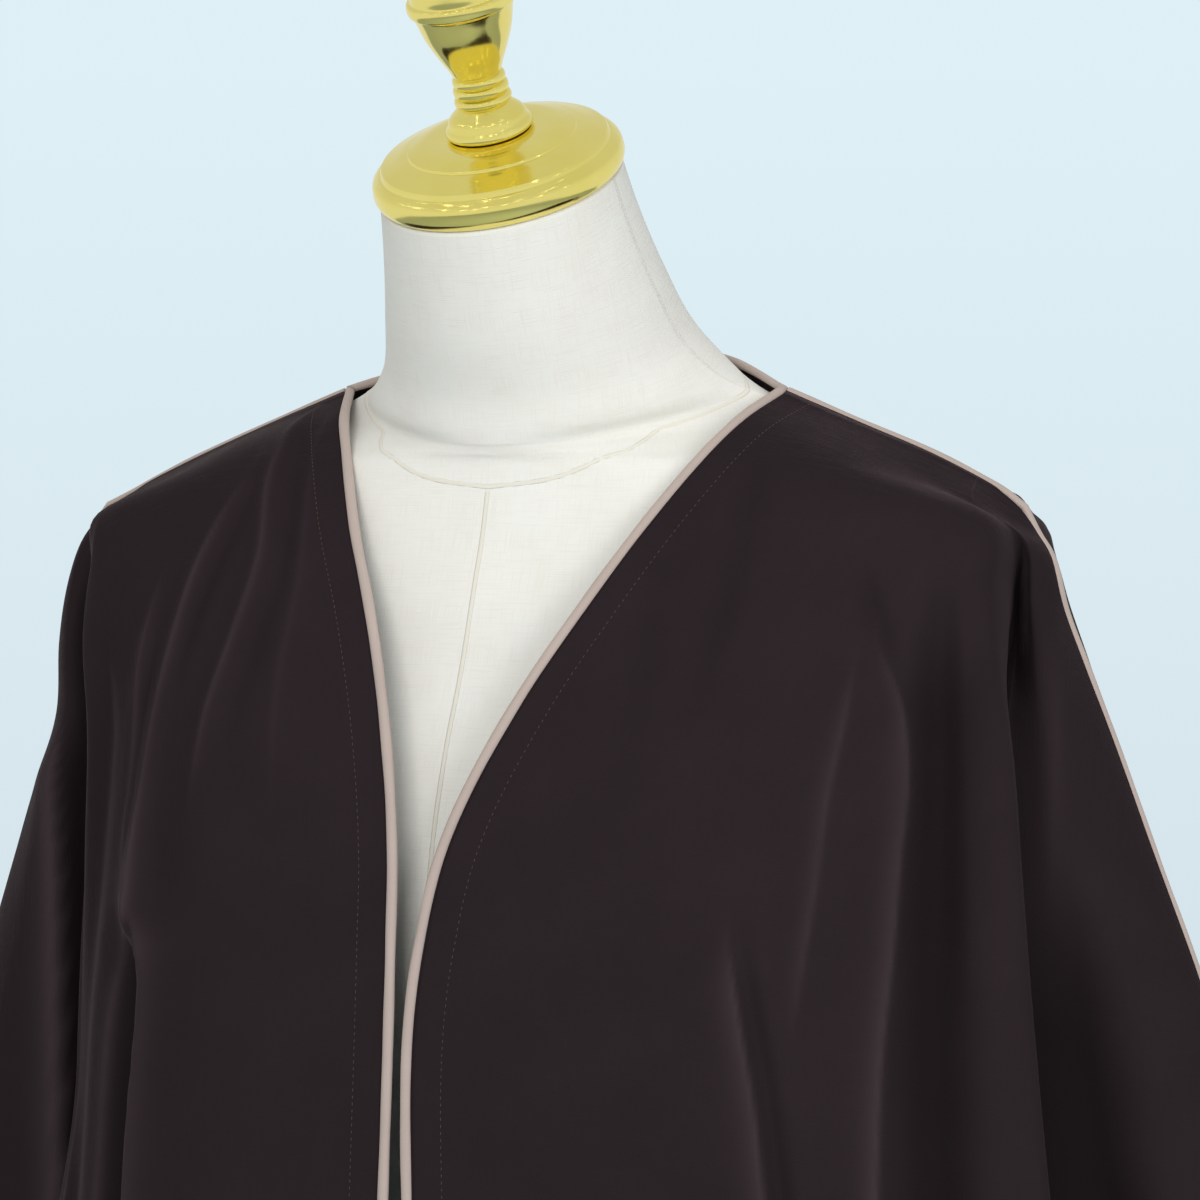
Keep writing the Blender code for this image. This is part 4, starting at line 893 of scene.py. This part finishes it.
def shell_normals(grids):
    """Outward directions on a side's four grids, the same for both of two pieces that meet.

    Above the underarm they come from one surface of all four grids, below it from the skirt's and the
    sleeve's own. On the shoulder they are the mean of the front's and the back's, and at the underarm
    they lean down between the two sleeve sides.
    """
    bf, sf, sb, bb = (grids[name] for name in PIECES)
    rows = slice(0, UNDERARM + 1)
    upper = np.concatenate((bf[rows], sf[rows, 1:], sb[rows, 1:], bb[rows, 1:]), axis=1)
    upper_n = grid_normals(upper)
    tip = BODY_COLUMNS + ARM_COLUMNS
    ends = tip + ARM_COLUMNS + REAR_COLUMNS
    apart = np.linalg.norm(upper[0, :tip + 1, None] - upper[0, None, tip:ends + 1], axis=-1)
    ahead = unit(upper_n[0, :tip + 1] + upper_n[0, tip + apart.argmin(axis=1)])
    behind = unit(upper_n[0, tip:ends + 1] + upper_n[0, apart.argmin(axis=0)])
    ahead[-1] = behind[0] = unit(ahead[-2] + upper_n[1, tip])
    for column in (BODY_COLUMNS, BODY_COLUMNS + 2 * ARM_COLUMNS):
        beside = unit(upper[UNDERARM, [column - 1, column + 1]] - upper[UNDERARM, column])
        upper_n[UNDERARM, column] = unit(unit(beside.sum(axis=0)) + (0.0, 0.0, -UNDERARM_DROP))
    upper_n[0, :tip + 1], upper_n[0, tip:ends + 1] = ahead, behind
    skirt_n = grid_normals(np.concatenate((bf[UNDERARM:], bb[UNDERARM:, 1:]), axis=1))[1:]
    tube = np.concatenate((sf[UNDERARM:], sb[UNDERARM:, 1:]), axis=1)
    tube_n = grid_normals(np.concatenate((tube[:, -2:-1], tube, tube[:, 1:2]), axis=1))[1:, 1:-1]
    return {
        "body_front": np.concatenate((upper_n[:, :BODY_COLUMNS + 1], skirt_n[:, :BODY_COLUMNS + 1])),
        "sleeve_front": np.concatenate((upper_n[:, BODY_COLUMNS:tip + 1], tube_n[:, :ARM_COLUMNS + 1])),
        "sleeve_back": np.concatenate((upper_n[:, tip:tip + ARM_COLUMNS + 1], tube_n[:, ARM_COLUMNS:])),
        "body_back": np.concatenate((upper_n[:, tip + ARM_COLUMNS:], skirt_n[:, BODY_COLUMNS:])),
    }


# %% [markdown]
# ## Seams and shells
#
# Front and back part at the overarm seam by the width of the piping that is sewn in there. The
# piping is a flat-round cord, so the cloth's edges stop where it starts. The cloth is 0.8 mm thick,
# two faces and a rim. A Solidify modifier could give it that wall, but it works on one piece at a
# time. Here two pieces that meet share their outward directions, so that their walls meet as well.

# %% Seams
PIPING_WIDTH = 0.0046
PIPING_HEIGHT = 0.0034
CLOTH_THICKNESS = 0.0008
PIPING_HELD = 0.86              # the share of its width that keeps the cloth's edges apart
PLAIN_SEAM = 0.00003            # half the gap at a plain seam


def mirrored(values):
    """Points or directions on the other side of the middle plane."""
    return values * (-1, 1, 1)


def across_path(path, outward):
    """Directions on a surface square to a path: its own direction crossed with outward."""
    return unit(np.cross(unit(np.gradient(path, axis=0)), outward))


def seam_directions(path, outward):
    """The directions across a seam, all turned the way that is towards the front at its start."""
    across = across_path(path, outward)
    return -across if across[0, 1] > 0 else across


def open_seams(grids, normals):
    """Draw front and back apart: for the piping overarm, hair-fine at the plain seams.

    The overarm seam runs from the neck point over the shoulder tip to the cuff. Its points, outward
    directions and forward directions are the result.
    """
    path, outward = (np.concatenate((kept["body_front"][0], kept["sleeve_front"][0, 1:],
                                     kept["sleeve_front"][1:, -1])) for kept in (grids, normals))
    outward = unit(outward)
    forward = seam_directions(path, outward)
    room = 0.5 * PIPING_WIDTH * PIPING_HELD
    count = BODY_COLUMNS + 1 + ARM_COLUMNS
    for name, way in (("front", 1), ("back", -1)):
        for piece in ("body_", "sleeve_"):
            row = grids[piece + name][0]
            reach = len(row) if name == "front" or piece == "sleeve_" else REAR_COLUMNS + 1
            near = np.linalg.norm(row[:reach, None] - path[None, :count], axis=-1).argmin(axis=1)
            row[:reach] += way * room * forward[near]
    grids["sleeve_front"][1:, -1] += room * forward[count:]
    grids["sleeve_back"][1:, 0] -= room * forward[count:]
    for front, back, first, last in SEAM_PAIRS:
        line = grids[front][UNDERARM + 1:, first].copy()
        across = across_path(line, normals[front][UNDERARM + 1:, first])
        across *= -np.sign(across[:, 1:2])
        grids[front][UNDERARM + 1:, first] = line + PLAIN_SEAM * across
        grids[back][UNDERARM + 1:, last] = line - PLAIN_SEAM * across
    return path, outward, forward


Side = namedtuple("Side", "grids normals lies edge seam seam_outward seam_forward")


def make_side(side):
    """The draped cloth of a side with its opened seams; the right one is made on +X and mirrored."""
    grids, painted_lights = draped_grids(side)
    normals = shell_normals(grids)
    edge = grids["body_front"][:, 0].copy()
    lines = (edge,) + open_seams(grids, normals)
    if side == "right":
        grids, normals = ({name: mirrored(grid)[:, ::-1] for name, grid in kept.items()}
                          for kept in (grids, normals))
        painted_lights = {name: grid[:, ::-1] for name, grid in painted_lights.items()}
        lines = map(mirrored, lines)
    return Side(grids, normals, painted_lights, *lines)


sides = {side: make_side(side) for side in ("left", "right")}
print("points a side:", sum(grid[..., 0].size for grid in sides["left"].grids.values()))


# %% Shells
def arc_uv(grid, anchor_column, anchor_u):
    """UV in metres: run along each row from an anchor column, and run down each column."""
    along = run_length(grid)
    u = along - along[:, anchor_column:anchor_column + 1] + anchor_u
    v = -run_length(grid.transpose(1, 0, 2)).T
    return np.stack((u, v), axis=-1)


class Shell:
    """Cloth gathered from grids that may share points, then given two faces and a rim."""

    def __init__(self):
        self.points, self.normals, self.lie, self.uv, self.quads, self.count = [], [], [], [], [], 0

    def add(self, side, piece, uv, known=None):
        """Add one of a side's grids; known holds the numbers of points that are already there, or -1."""
        grid, normals, lie = (kept[piece] for kept in sides[side][:3])
        numbers = np.full(grid.shape[:2], -1) if known is None else known.copy()
        new = numbers < 0
        numbers[new] = self.count + np.arange(new.sum())
        self.count += int(new.sum())
        self.points.append(grid[new])
        self.normals.append(normals[new])
        self.lie.append(lie[new])
        self.uv.append(uv[new])
        self.quads.append(quads_of(numbers))
        return numbers

    def area(self):
        """Area of one face of the cloth."""
        points = np.concatenate(self.points)
        corners = points[np.concatenate(self.quads)]
        halves = np.cross(corners[:, 2] - corners[:, 0], corners[:, 3] - corners[:, 1])
        return 0.5 * np.linalg.norm(halves, axis=1).sum()

    def build(self, name, node):
        """A crepe piece: the outer points, the same points moved in, and a rim at every border edge."""
        outer, outward = np.concatenate(self.points), unit(np.concatenate(self.normals))
        quads, uv = np.concatenate(self.quads), np.concatenate(self.uv)
        corners = outer[quads]
        facing = np.cross(corners[:, 2] - corners[:, 0], corners[:, 3] - corners[:, 1])
        if (facing * outward[quads[:, 0]]).sum() < 0:
            quads = quads[:, ::-1]
        inner = outer - CLOTH_THICKNESS * outward
        starts, ends = quads.ravel(), np.roll(quads, -1, axis=1).ravel()
        key, opposite = starts * self.count + ends, ends * self.count + starts
        border = ~np.isin(key, opposite)
        a, b = starts[border], ends[border]
        rim = np.stack((b, a, a + self.count, b + self.count), axis=-1)
        faces = np.concatenate((quads, quads[:, ::-1] + self.count, rim))
        print(f"{name}: {self.area():.3f} square metres of cloth")
        return add_mesh(name, np.concatenate((outer, inner)), faces, np.concatenate((uv, uv)), "crepe",
                        node, lie=np.concatenate(self.lie + self.lie))


def shared_column(shape, column, rows, numbers):
    """A grid of -1 with one column's first rows set to known point numbers."""
    known = np.full(shape[:2], -1)
    known[:rows, column] = numbers[:rows]
    return known


# %% Front pieces
def make_front(side):
    """A front with its half sleeve; the two grids share the valley down to the underarm."""
    shell, grids = Shell(), sides[side].grids
    join, free, edge = (-1, 0, 0) if side == "left" else (0, -1, BODY_COLUMNS)
    uv = arc_uv(grids["body_front"], edge, 0.0)
    body = shell.add(side, "body_front", uv)
    sleeve = grids["sleeve_front"]
    known = shared_column(sleeve.shape, free, UNDERARM + 1, body[:, join])
    shell.add(side, "sleeve_front", arc_uv(sleeve, free % sleeve.shape[1], uv[UNDERARM, join, 0]), known)
    return shell.build("abaya_front_" + side, "front_" + side)


fronts = {side: make_front(side) for side in ("left", "right")}


# %% Back piece
def make_back():
    """The back: both sides' grids, joined at the centre back and at each valley."""
    shell, body = Shell(), None
    for side, centre, valley in (("left", -1, 0), ("right", 0, -1)):
        grid, sleeve = (sides[side].grids[piece] for piece in ("body_back", "sleeve_back"))
        uv = arc_uv(grid, centre % grid.shape[1], 0.0)
        known = None if body is None else shared_column(grid.shape, 0, len(grid), body[:, -1])
        body = shell.add(side, "body_back", uv, known)
        known = shared_column(sleeve.shape, -1 - valley, UNDERARM + 1, body[:, valley])
        anchor = (-1 - valley) % sleeve.shape[1]
        shell.add(side, "sleeve_back", arc_uv(sleeve, anchor, uv[UNDERARM, valley, 0]), known)
    return shell.build("abaya_back", "back")


back = make_back()

# %% [markdown]
# ## Piping
#
# The piping is a bias strip of satin folded round a cord. A bevelled curve could make it, but its
# roll would have to be steered by hand. Here an ellipse is carried along the seam in the seam's own
# two directions, so the cord's flat side always lies on the cloth. Along a curve such a strip is
# never quite even, so its width and height breathe by a few hundredths, as slow sines of the run.

# %% Piping
BREATHING, BREATHING_RATES = 0.05, (140.0, 37.0)        # share of its size, and radians a metre
BREATHING_SHIFT, EVENING = 1.0, 6                       # radians, and rounds of averaging
PIPING_SIDES = 14


def add_piping(name, path, across, outward, node):
    """A flat-round cord on a seam, sunk so that the cloth's edges meet it at half its height."""
    run = run_length(path)[:, None]
    fast, slow = BREATHING_RATES
    swell = 1 + BREATHING * np.sin(run * fast) * np.sin(run * slow + BREATHING_SHIFT)
    path = path - 0.5 * CLOTH_THICKNESS * outward
    return add_tube(name, path, 0.5 * PIPING_WIDTH * swell * across, 0.5 * PIPING_HEIGHT * swell * outward,
                    "satin_piping", PIPING_SIDES, node)


def evened(vectors):
    """Directions along a path, averaged with their neighbours a few times."""
    for _ in range(EVENING):
        padded = np.concatenate((vectors[:1], vectors, vectors[-1:]))
        vectors = unit(padded[:-2] + 2 * padded[1:-1] + padded[2:])
    return vectors


def neckline():
    """Up the left front edge, round the back neck and down the right, with both directions there."""
    left, right = sides["left"], sides["right"]
    neck, neck_n, other, other_n = (kept["body_back"][0, chosen] for side, chosen in (
        (left, slice(-NECK_COLUMNS, None)), (right, slice(1, NECK_COLUMNS + 1))) for kept in side[:2])
    path = np.concatenate((left.edge[::-1], neck, other, right.edge))
    outward = evened(unit(np.concatenate((left.normals["body_front"][::-1, 0], neck_n, other_n,
                                          right.normals["body_front"][:, -1]))))
    along = unit(np.gradient(path, axis=0))
    across = unit(np.cross(along, outward))
    across *= -np.sign(across[0, 0])
    outward = unit(np.cross(across, along))
    outward *= -np.sign(outward[0, 1])
    return path + 0.5 * PIPING_WIDTH * across, across, outward


piping = [add_piping("abaya_piping_neckline", *neckline(), "piping_neckline")]
for name, side in sides.items():
    piping.append(add_piping("abaya_piping_sleeve_" + name, side.seam, evened(side.seam_forward),
                             evened(side.seam_outward), "piping_sleeve_" + name))

# %% [markdown]
# ## Stitches
#
# A facing is caught down 13 mm inside each front edge by a row of small stitches, and the hem and the
# cuffs are turned up and stitched. A dashed texture could show them, but a stitch stands up from the
# cloth and catches light, so each is a tiny spindle. All the stitches of a row are one mesh, made by
# placing one spindle's points at every stitch at once.

# %% Stitch rows
STITCH_LENGTH = 0.0018
STITCH_PITCH = 0.0028
STITCH_RADIUS = 0.00016
SPINDLE_SHARES, SPINDLE_SIDES = np.array((0.12, 0.5, 0.88)), 5      # its rings' places, and their points
FACING_WIDTH = 0.013
HEM_DEPTH = 0.022


def resample(path, outward, pitch):
    """Points a pitch apart along a path, with tangents and normals there."""
    run = run_length(path)
    places = np.arange(0.5 * pitch, run[-1], pitch)
    points, normals = (np.stack([np.interp(places, run, column) for column in values.T], axis=-1)
                       for values in (path, outward))
    return points, unit(np.gradient(points, axis=0)), unit(normals)


def add_stitches(name, path, outward):
    """One spindle at every stitch: rings of radius sin(pi t) along the stitch, joined in one mesh."""
    points, along, normals = resample(path, outward, STITCH_PITCH)
    beside = unit(np.cross(along, normals))
    angle, reach = angles(SPINDLE_SIDES), (SPINDLE_SHARES - 0.5) * STITCH_LENGTH
    radius = STITCH_RADIUS * np.sin(np.pi * SPINDLE_SHARES)[:, None]
    sideways, out = radius * np.cos(angle), radius * np.sin(angle) + 0.5 * STITCH_RADIUS
    rings = (points[:, None, None] + reach[None, :, None, None] * along[:, None, None]
             + sideways[None, ..., None] * beside[:, None, None]
             + out[None, ..., None] * normals[:, None, None])
    numbers = np.arange(sideways.size).reshape(sideways.shape)
    ends = np.stack((numbers[0][::-1], numbers[-1]))
    shift = (np.arange(len(points)) * numbers.size)[:, None, None]
    uv = np.zeros((len(points) * numbers.size, 2))
    uv[:, 1] = np.repeat(np.arange(len(points)) * STITCH_PITCH, numbers.size)
    quads = (quads_of(numbers, closed=True)[None] + shift).reshape(-1, 4)
    caps = (ends[None] + shift).reshape(-1, SPINDLE_SIDES)
    add_mesh(name, rings.reshape(-1, 3), quads, uv, "thread", extra=(caps,))


def beside_edge(grid, normals, distance, column):
    """On every row, the point at a distance from the edge column, by run along the row."""
    if column == -1:
        grid, normals = grid[:, ::-1], normals[:, ::-1]
    run = run_length(grid)
    after = (run > distance).argmax(axis=1)
    rows = np.arange(len(grid))
    share = ((distance - run[rows, after - 1]) / (run[rows, after] - run[rows, after - 1]))[:, None]
    at = [(1 - share) * v[rows, after - 1] + share * v[rows, after] for v in (grid, normals)]
    return at[0], unit(at[1])


def above_edge(grid, normals, distance):
    """On every column, the point at a distance above the bottom row."""
    return beside_edge(grid.transpose(1, 0, 2), normals.transpose(1, 0, 2), distance, -1)


for name, column in (("left", 0), ("right", -1)):
    grids, normals = sides[name][:2]
    add_stitches("stitches_facing_" + name,
                 *beside_edge(grids["body_front"], normals["body_front"], FACING_WIDTH, column))
    for piece in ("body_front", "body_back", "sleeve_front", "sleeve_back"):
        add_stitches(f"stitches_hem_{piece}_{name}", *above_edge(grids[piece], normals[piece], HEM_DEPTH))

# %% [markdown]
# ## The sheets of cloth
#
# Each cut of cloth runs, on the cutting table, from the front edge or the cuff to the other cuff, and
# from the shoulder to the hem. Its area is smaller than that rectangle, because the cut narrows
# between sleeve and skirt. Here the names of the three cuts are printed.

print("sheets:", fronts["left"].name, fronts["right"].name, back.name)

# %% [markdown]
# ## The form
#
# The form is a padded torso without limbs. It could be sculpted, but a form is ordered by its widths
# at given heights, and rings are just that: each is an ellipse whose front and back have their own
# depth, tilted forward at the neck, and pinched at the shoulders by a power. Linen is stretched over
# it in panels, so there is a seam at the neck's foot and one down the middle of the front. A groove
# would be too fine for the form's grid, so each is a thin flat tape that follows it.

# %% Form surface
FormRing = namedtuple("FormRing", "centre_y centre_z half_width front back tilt_deg front_power back_power")
FORM_RINGS = (
    FormRing(-.0519, 1.5443, .0516, .0510, .0510, 28.3, 1.0, 1.0),
    FormRing(-.0450, 1.5300, .0538, .0525, .0525, 27.5, 1.0, 1.0),
    FormRing(-.0290, 1.5000, .0605, .0565, .0575, 26.0, 1.0, 1.0),
    FormRing(-.0130, 1.4760, .0690, .0604, .0600, 23.0, 1.0, 1.0),
    FormRing(-.0030, 1.4620, .0825, .0668, .0565, 20.0, 1.3, 1.0),
    FormRing(0.0040, 1.4560, .0945, .0722, .0510, 17.0, 2.0, 1.3),
    FormRing(0.0060, 1.4502, .1090, .0726, .0510, 13.0, 2.6, 1.5),
    FormRing(0.0000, 1.4376, .1440, .0648, .0590, 6.0, 3.0, 1.8),
    FormRing(0.0000, 1.4267, .1755, .0640, .0670, 2.0, 2.2, 1.6),
    FormRing(0.0000, 1.4120, .1920, .0668, .0720, 1.0, 1.6, 1.3),
    FormRing(0.0000, 1.3960, .1960, .0710, .0760, 0.0, 1.1, 1.1),
    FormRing(0.0000, 1.3750, .1940, .0790, .0810, 0.0, 1.0, 1.0),
    FormRing(0.0000, 1.3450, .1870, .0900, .0860, 0.0, 1.0, 1.0),
    FormRing(0.0000, 1.3050, .1760, .1080, .0910, 0.0, 1.0, 1.0),
    FormRing(0.0000, 1.2550, .1640, .1220, .0930, 0.0, 1.0, 1.0),
    FormRing(0.0000, 1.2050, .1530, .1210, .0890, 0.0, 1.0, 1.0),
    FormRing(0.0000, 1.1400, .1330, .1040, .0800, 0.0, 1.0, 1.0),
    FormRing(0.0000, 1.0600, .1180, .0880, .0760, 0.0, 1.0, 1.0),
    FormRing(0.0000, 0.9900, .1270, .0930, .0860, 0.0, 1.0, 1.0),
    FormRing(0.0000, 0.9100, .1500, .1050, .1020, 0.0, 1.0, 1.0),
    FormRing(0.0000, 0.8400, .1600, .1100, .1100, 0.0, 1.0, 1.0),
    FormRing(0.0000, 0.8000, .1560, .1060, .1060, 0.0, 1.0, 1.0),
    FormRing(0.0000, 0.7870, .1450, .0970, .0970, 0.0, 1.0, 1.0),
)
FORM_SIDES, FORM_FRONT = 128, 96        # points round a ring, and which of them is the front's middle
RING_STEPS = 8


def form_grid():
    """Rings between the table's rings by the smooth curve, then points round each ring."""
    table = np.array(FORM_RINGS)
    spacing = np.linalg.norm(np.diff(table[:, :3], axis=0), axis=1)
    fine = smooth_curve(table, spacing, places_of((RING_STEPS,) * (len(table) - 1)))
    y, z, half, front, rear, tilt, front_power, rear_power = (column[:, None] for column in fine.T)
    angle = angles(FORM_SIDES)
    ahead = np.sin(angle)[None]
    size = np.maximum(np.abs(ahead), 1e-9)
    depth = np.where(ahead < 0, -front * size ** front_power, rear * size ** rear_power)
    tilt = np.radians(tilt)
    return np.stack((half * np.cos(angle), y + depth * np.cos(tilt), z + depth * np.sin(tilt)), axis=-1)


form = form_grid()
closed = np.concatenate((form, form[:, :1]), axis=1)
form_uv = arc_uv(closed, FORM_FRONT, 0.0)
form_uv[..., 1] = form_uv[..., 1].mean(axis=1, keepdims=True)
numbers = np.arange(closed[..., 0].size).reshape(closed.shape[:2])
lids = [numbers[0, :-1][None], numbers[-1, :-1][::-1][None]]
wrapped = numbers.copy()
wrapped[:, -1] = numbers[:, 0]
add_mesh("dress_form", closed.reshape(-1, 3), quads_of(wrapped)[:, ::-1], form_uv.reshape(-1, 2),
         "slub_linen", "form", extra=lids)


# %% Form seams
SeamPoint = namedtuple("SeamPoint", "turn ring")      # degrees from the front, and place in the table
NECK_SEAM = tuple(SeamPoint(*row) for row in (
    (0, 8.62), (9, 8.35), (20, 7.30), (34, 6.10), (52, 5.3), (75, 4.8), (90, 4.6), (135, 4.0), (180, 3.8)))
NECK_SEAM_END, NECK_SEAM_STEP = 178, 2                # degrees
CENTRE_SEAM, CENTRE_SEAM_POINTS = (8.75, 21.5), 120   # from the neck seam down to the form's foot
TAPE_WIDTH, TAPE_HEIGHT, TAPE_SIDES = 0.0020, 0.00024, 8


def on_form(turns, rings):
    """Points of the form's grid and outward directions there; turns are degrees from the front."""
    columns = (FORM_FRONT + turns / 360.0 * FORM_SIDES) % FORM_SIDES
    rows = rings * RING_STEPS
    values = np.concatenate((closed, -grid_normals(closed)), axis=-1)
    r, c = np.minimum(rows.astype(int), len(form) - 2), columns.astype(int)
    t, u = (rows - r)[:, None], (columns - c)[:, None]
    at = ((1 - t) * ((1 - u) * values[r, c] + u * values[r, c + 1])
          + t * ((1 - u) * values[r + 1, c] + u * values[r + 1, c + 1]))
    points, outward = at[:, :3], unit(at[:, 3:])
    return points, outward * np.sign((outward * points)[:, :2].sum(axis=1, keepdims=True))


def add_seam_tape(name, turns, rings):
    """A thin flat cord along a seam of the form."""
    path, outward = on_form(turns, rings)
    add_tube(name, path, 0.5 * TAPE_WIDTH * across_path(path, outward), 0.5 * TAPE_HEIGHT * outward,
             "seam_tape", TAPE_SIDES)


seam = np.array(NECK_SEAM, float)
turns = np.arange(-NECK_SEAM_END, NECK_SEAM_END + 1.0, NECK_SEAM_STEP)
places = np.interp(np.abs(turns), seam[:, 0], np.arange(len(seam)))
add_seam_tape("seam_neck", turns, smooth_curve(seam[:, 1:], np.diff(seam[:, 0]), places)[:, 0])
rings = np.linspace(*CENTRE_SEAM, CENTRE_SEAM_POINTS)
add_seam_tape("seam_centre_front", np.zeros(CENTRE_SEAM_POINTS), rings)

# %% [markdown]
# ## The stand
#
# Cap, finial, pole and base are turned on a lathe. A Screw modifier could turn their profiles. Rings
# worked out directly close on one point at each end and have a UV in metres. The cap and the finial
# share an axis that leans forward with the neck. A profile is a smooth curve through its named
# points, and a softness of 0 keeps a point as an edge.

# %% Turned parts
NECK_TILT = math.radians(28.3)
CAP_FOOT = (0.0, -0.0520, 1.5446)
JOINT_GAP = 0.0003
Turned = namedtuple("Turned", "radius height soft")


def profile(*rows):
    """A profile of named points, from the axis at the foot to the axis at the top."""
    return tuple(Turned(*row) for row in rows)


CAP_PROFILE = profile(
    (0.0, 0.0, 0), (.0490, 0.0, 0), (.0512, .0004, .8), (.0531, .0032, 1), (.0534, .0060, 1),
    (.0526, .0096, 1), (.0500, .0122, .6), (.0489, .0127, 0), (.0485, .0138, .5), (.0479, .0149, 0),
    (.0440, .0163, 1), (.0390, .0181, 1), (.0362, .0188, 0), (.0357, .0198, .5), (.0349, .0201, 0),
    (.0290, .0220, 1), (.0240, .0226, 0), (0.0, .0226, 0))
FINIAL_PROFILE = profile(
    (0.0, 0.0, 0), (.0174, 0.0, 0), (.0184, .0012, 1), (.0181, .0030, 1), (.0170, .0048, 1),
    (.0158, .0075, 1), (.0126, .0106, 1), (.0108, .0122, 0), (.0117, .0131, 1), (.0121, .0145, 1),
    (.0115, .0159, 1), (.0104, .0166, 0), (.0113, .0173, 1), (.0117, .0189, 1), (.0113, .0204, 1),
    (.0102, .0211, 0), (.0109, .0219, 1), (.0112, .0232, 1), (.0108, .0245, 1), (.0097, .0252, 0),
    (.0103, .0262, 1), (.0118, .0298, 1), (.0140, .0342, 1), (.0182, .0440, 1), (.0204, .0524, 1),
    (.0212, .0548, .5), (.0225, .0556, 1), (.0230, .0574, 1), (.0230, .0588, 1), (.0225, .0602, 1),
    (.0212, .0609, .5), (.0206, .0640, 1), (.0180, .0720, 1), (.0120, .0787, 1), (0.0, .0815, 0))
POLE_RADIUS = 0.0130
BASE_RADIUS = 0.1600
BASE_PROFILE = profile(
    (0.0, 0.0, 0), (BASE_RADIUS - .003, 0.0, 0), (BASE_RADIUS - .0006, .0010, .8),
    (BASE_RADIUS, .0030, 1), (BASE_RADIUS, .0080, 1), (BASE_RADIUS - .0012, .0108, 1),
    (BASE_RADIUS - .006, .0138, 1), (.120, .0156, 1), (.070, .0178, 1), (.056, .0192, 0),
    (.0545, .0204, .5), (.050, .0209, 0), (.038, .0232, 1), (.0320, .0258, .5), (.0300, .0260, 0),
    (0.0, .0260, 0))
SHARP_EDGE = math.radians(35)


def add_turned(name, profile, steps, sides, node, foot=(0.0, 0.0, 0.0), tilt=0.0):
    """A profile turned about an axis that leans forward by tilt from its foot."""
    table = np.array(profile)
    curve = through(table[:, :2], places_of((steps,) * (len(table) - 1)), table[:, 2])
    curve = curve[np.concatenate(([True], np.linalg.norm(np.diff(curve, axis=0), axis=1) > 1e-7))]
    angle, inner = angles(sides), curve[1:-1]
    rings = np.stack((inner[:, :1] * np.cos(angle), inner[:, :1] * np.sin(angle),
                      np.repeat(inner[:, 1:], sides, axis=1)), axis=-1)
    points = np.concatenate((rings.reshape(-1, 3), [(0.0, 0.0, curve[0, 1]), (0.0, 0.0, curve[-1, 1])]))
    cos, sin = math.cos(tilt), math.sin(tilt)
    points = points @ np.array(((1, 0, 0), (0, cos, -sin), (0, sin, cos))).T + foot
    quads, fans = rings_and_fans(rings)
    uv = np.stack(np.broadcast_arrays(angle[None] * inner[:, :1], run_length(inner)[:, None]), axis=-1)
    uv = np.concatenate((uv.reshape(-1, 2), np.zeros((2, 2))))
    add_mesh(name, points, quads, uv, "gold_plating", node,
             extra=(fans,)).data.set_sharp_from_angle(angle=SHARP_EDGE)


add_turned("neck_cap_polished", CAP_PROFILE, 6, 128, "neck_cap", CAP_FOOT, NECK_TILT)
lift = CAP_PROFILE[-1].height + JOINT_GAP
finial_foot = (0.0, CAP_FOOT[1] - lift * math.sin(NECK_TILT), CAP_FOOT[2] + lift * math.cos(NECK_TILT))
add_turned("finial_turned", FINIAL_PROFILE, 6, 96, "finial", finial_foot, NECK_TILT)
add_turned("base_turned", BASE_PROFILE, 6, 160, "base")
low, high = BASE_PROFILE[-1].height + JOINT_GAP, FORM_RINGS[-1].centre_z - JOINT_GAP
pole = profile((0, low, 0), (POLE_RADIUS, low, 0), (POLE_RADIUS, high, 0), (0, high, 0))
add_turned("pole_turned", pole, 8, 64, "pole")

# %% [markdown]
# ## Floor
#
# The floor is stage, not part of the object: a pale disc with a hardly visible cloudiness. A square
# would do, but a disc has no corner that could come into view.

# %% Floor
FLOOR_RADIUS, FLOOR_SIDES = 4.0, 96
FLOOR_COLOUR, FLOOR_DIP = (0.60, 0.68, 0.71), 0.97      # and its darker patches, as a share of it
FLOOR_ROUGHNESS, FLOOR_CLOUDS = 0.8, 3.0

angle = angles(FLOOR_SIDES)
disc = np.column_stack((FLOOR_RADIUS * np.cos(angle), FLOOR_RADIUS * np.sin(angle), np.zeros(FLOOR_SIDES)))
floor_mesh = bpy.data.meshes.new("floor")
floor_mesh.from_pydata(disc.tolist(), [], [list(range(FLOOR_SIDES))])
floor = new_object("floor", floor_mesh)
paint, tree, shader = material_tree("floor_paint")
clouds = noise(tree, tree.nodes.new("ShaderNodeTexCoord").outputs["Generated"], FLOOR_CLOUDS)
shade = colour_mix(tree, clouds, tuple(FLOOR_DIP * c for c in FLOOR_COLOUR), FLOOR_COLOUR)
tree.links.new(shade, shader.inputs["Base Color"])
shader.inputs["Roughness"].default_value = FLOOR_ROUGHNESS
floor_mesh.materials.append(paint)
print("floor:", FLOOR_RADIUS, "metres in radius")
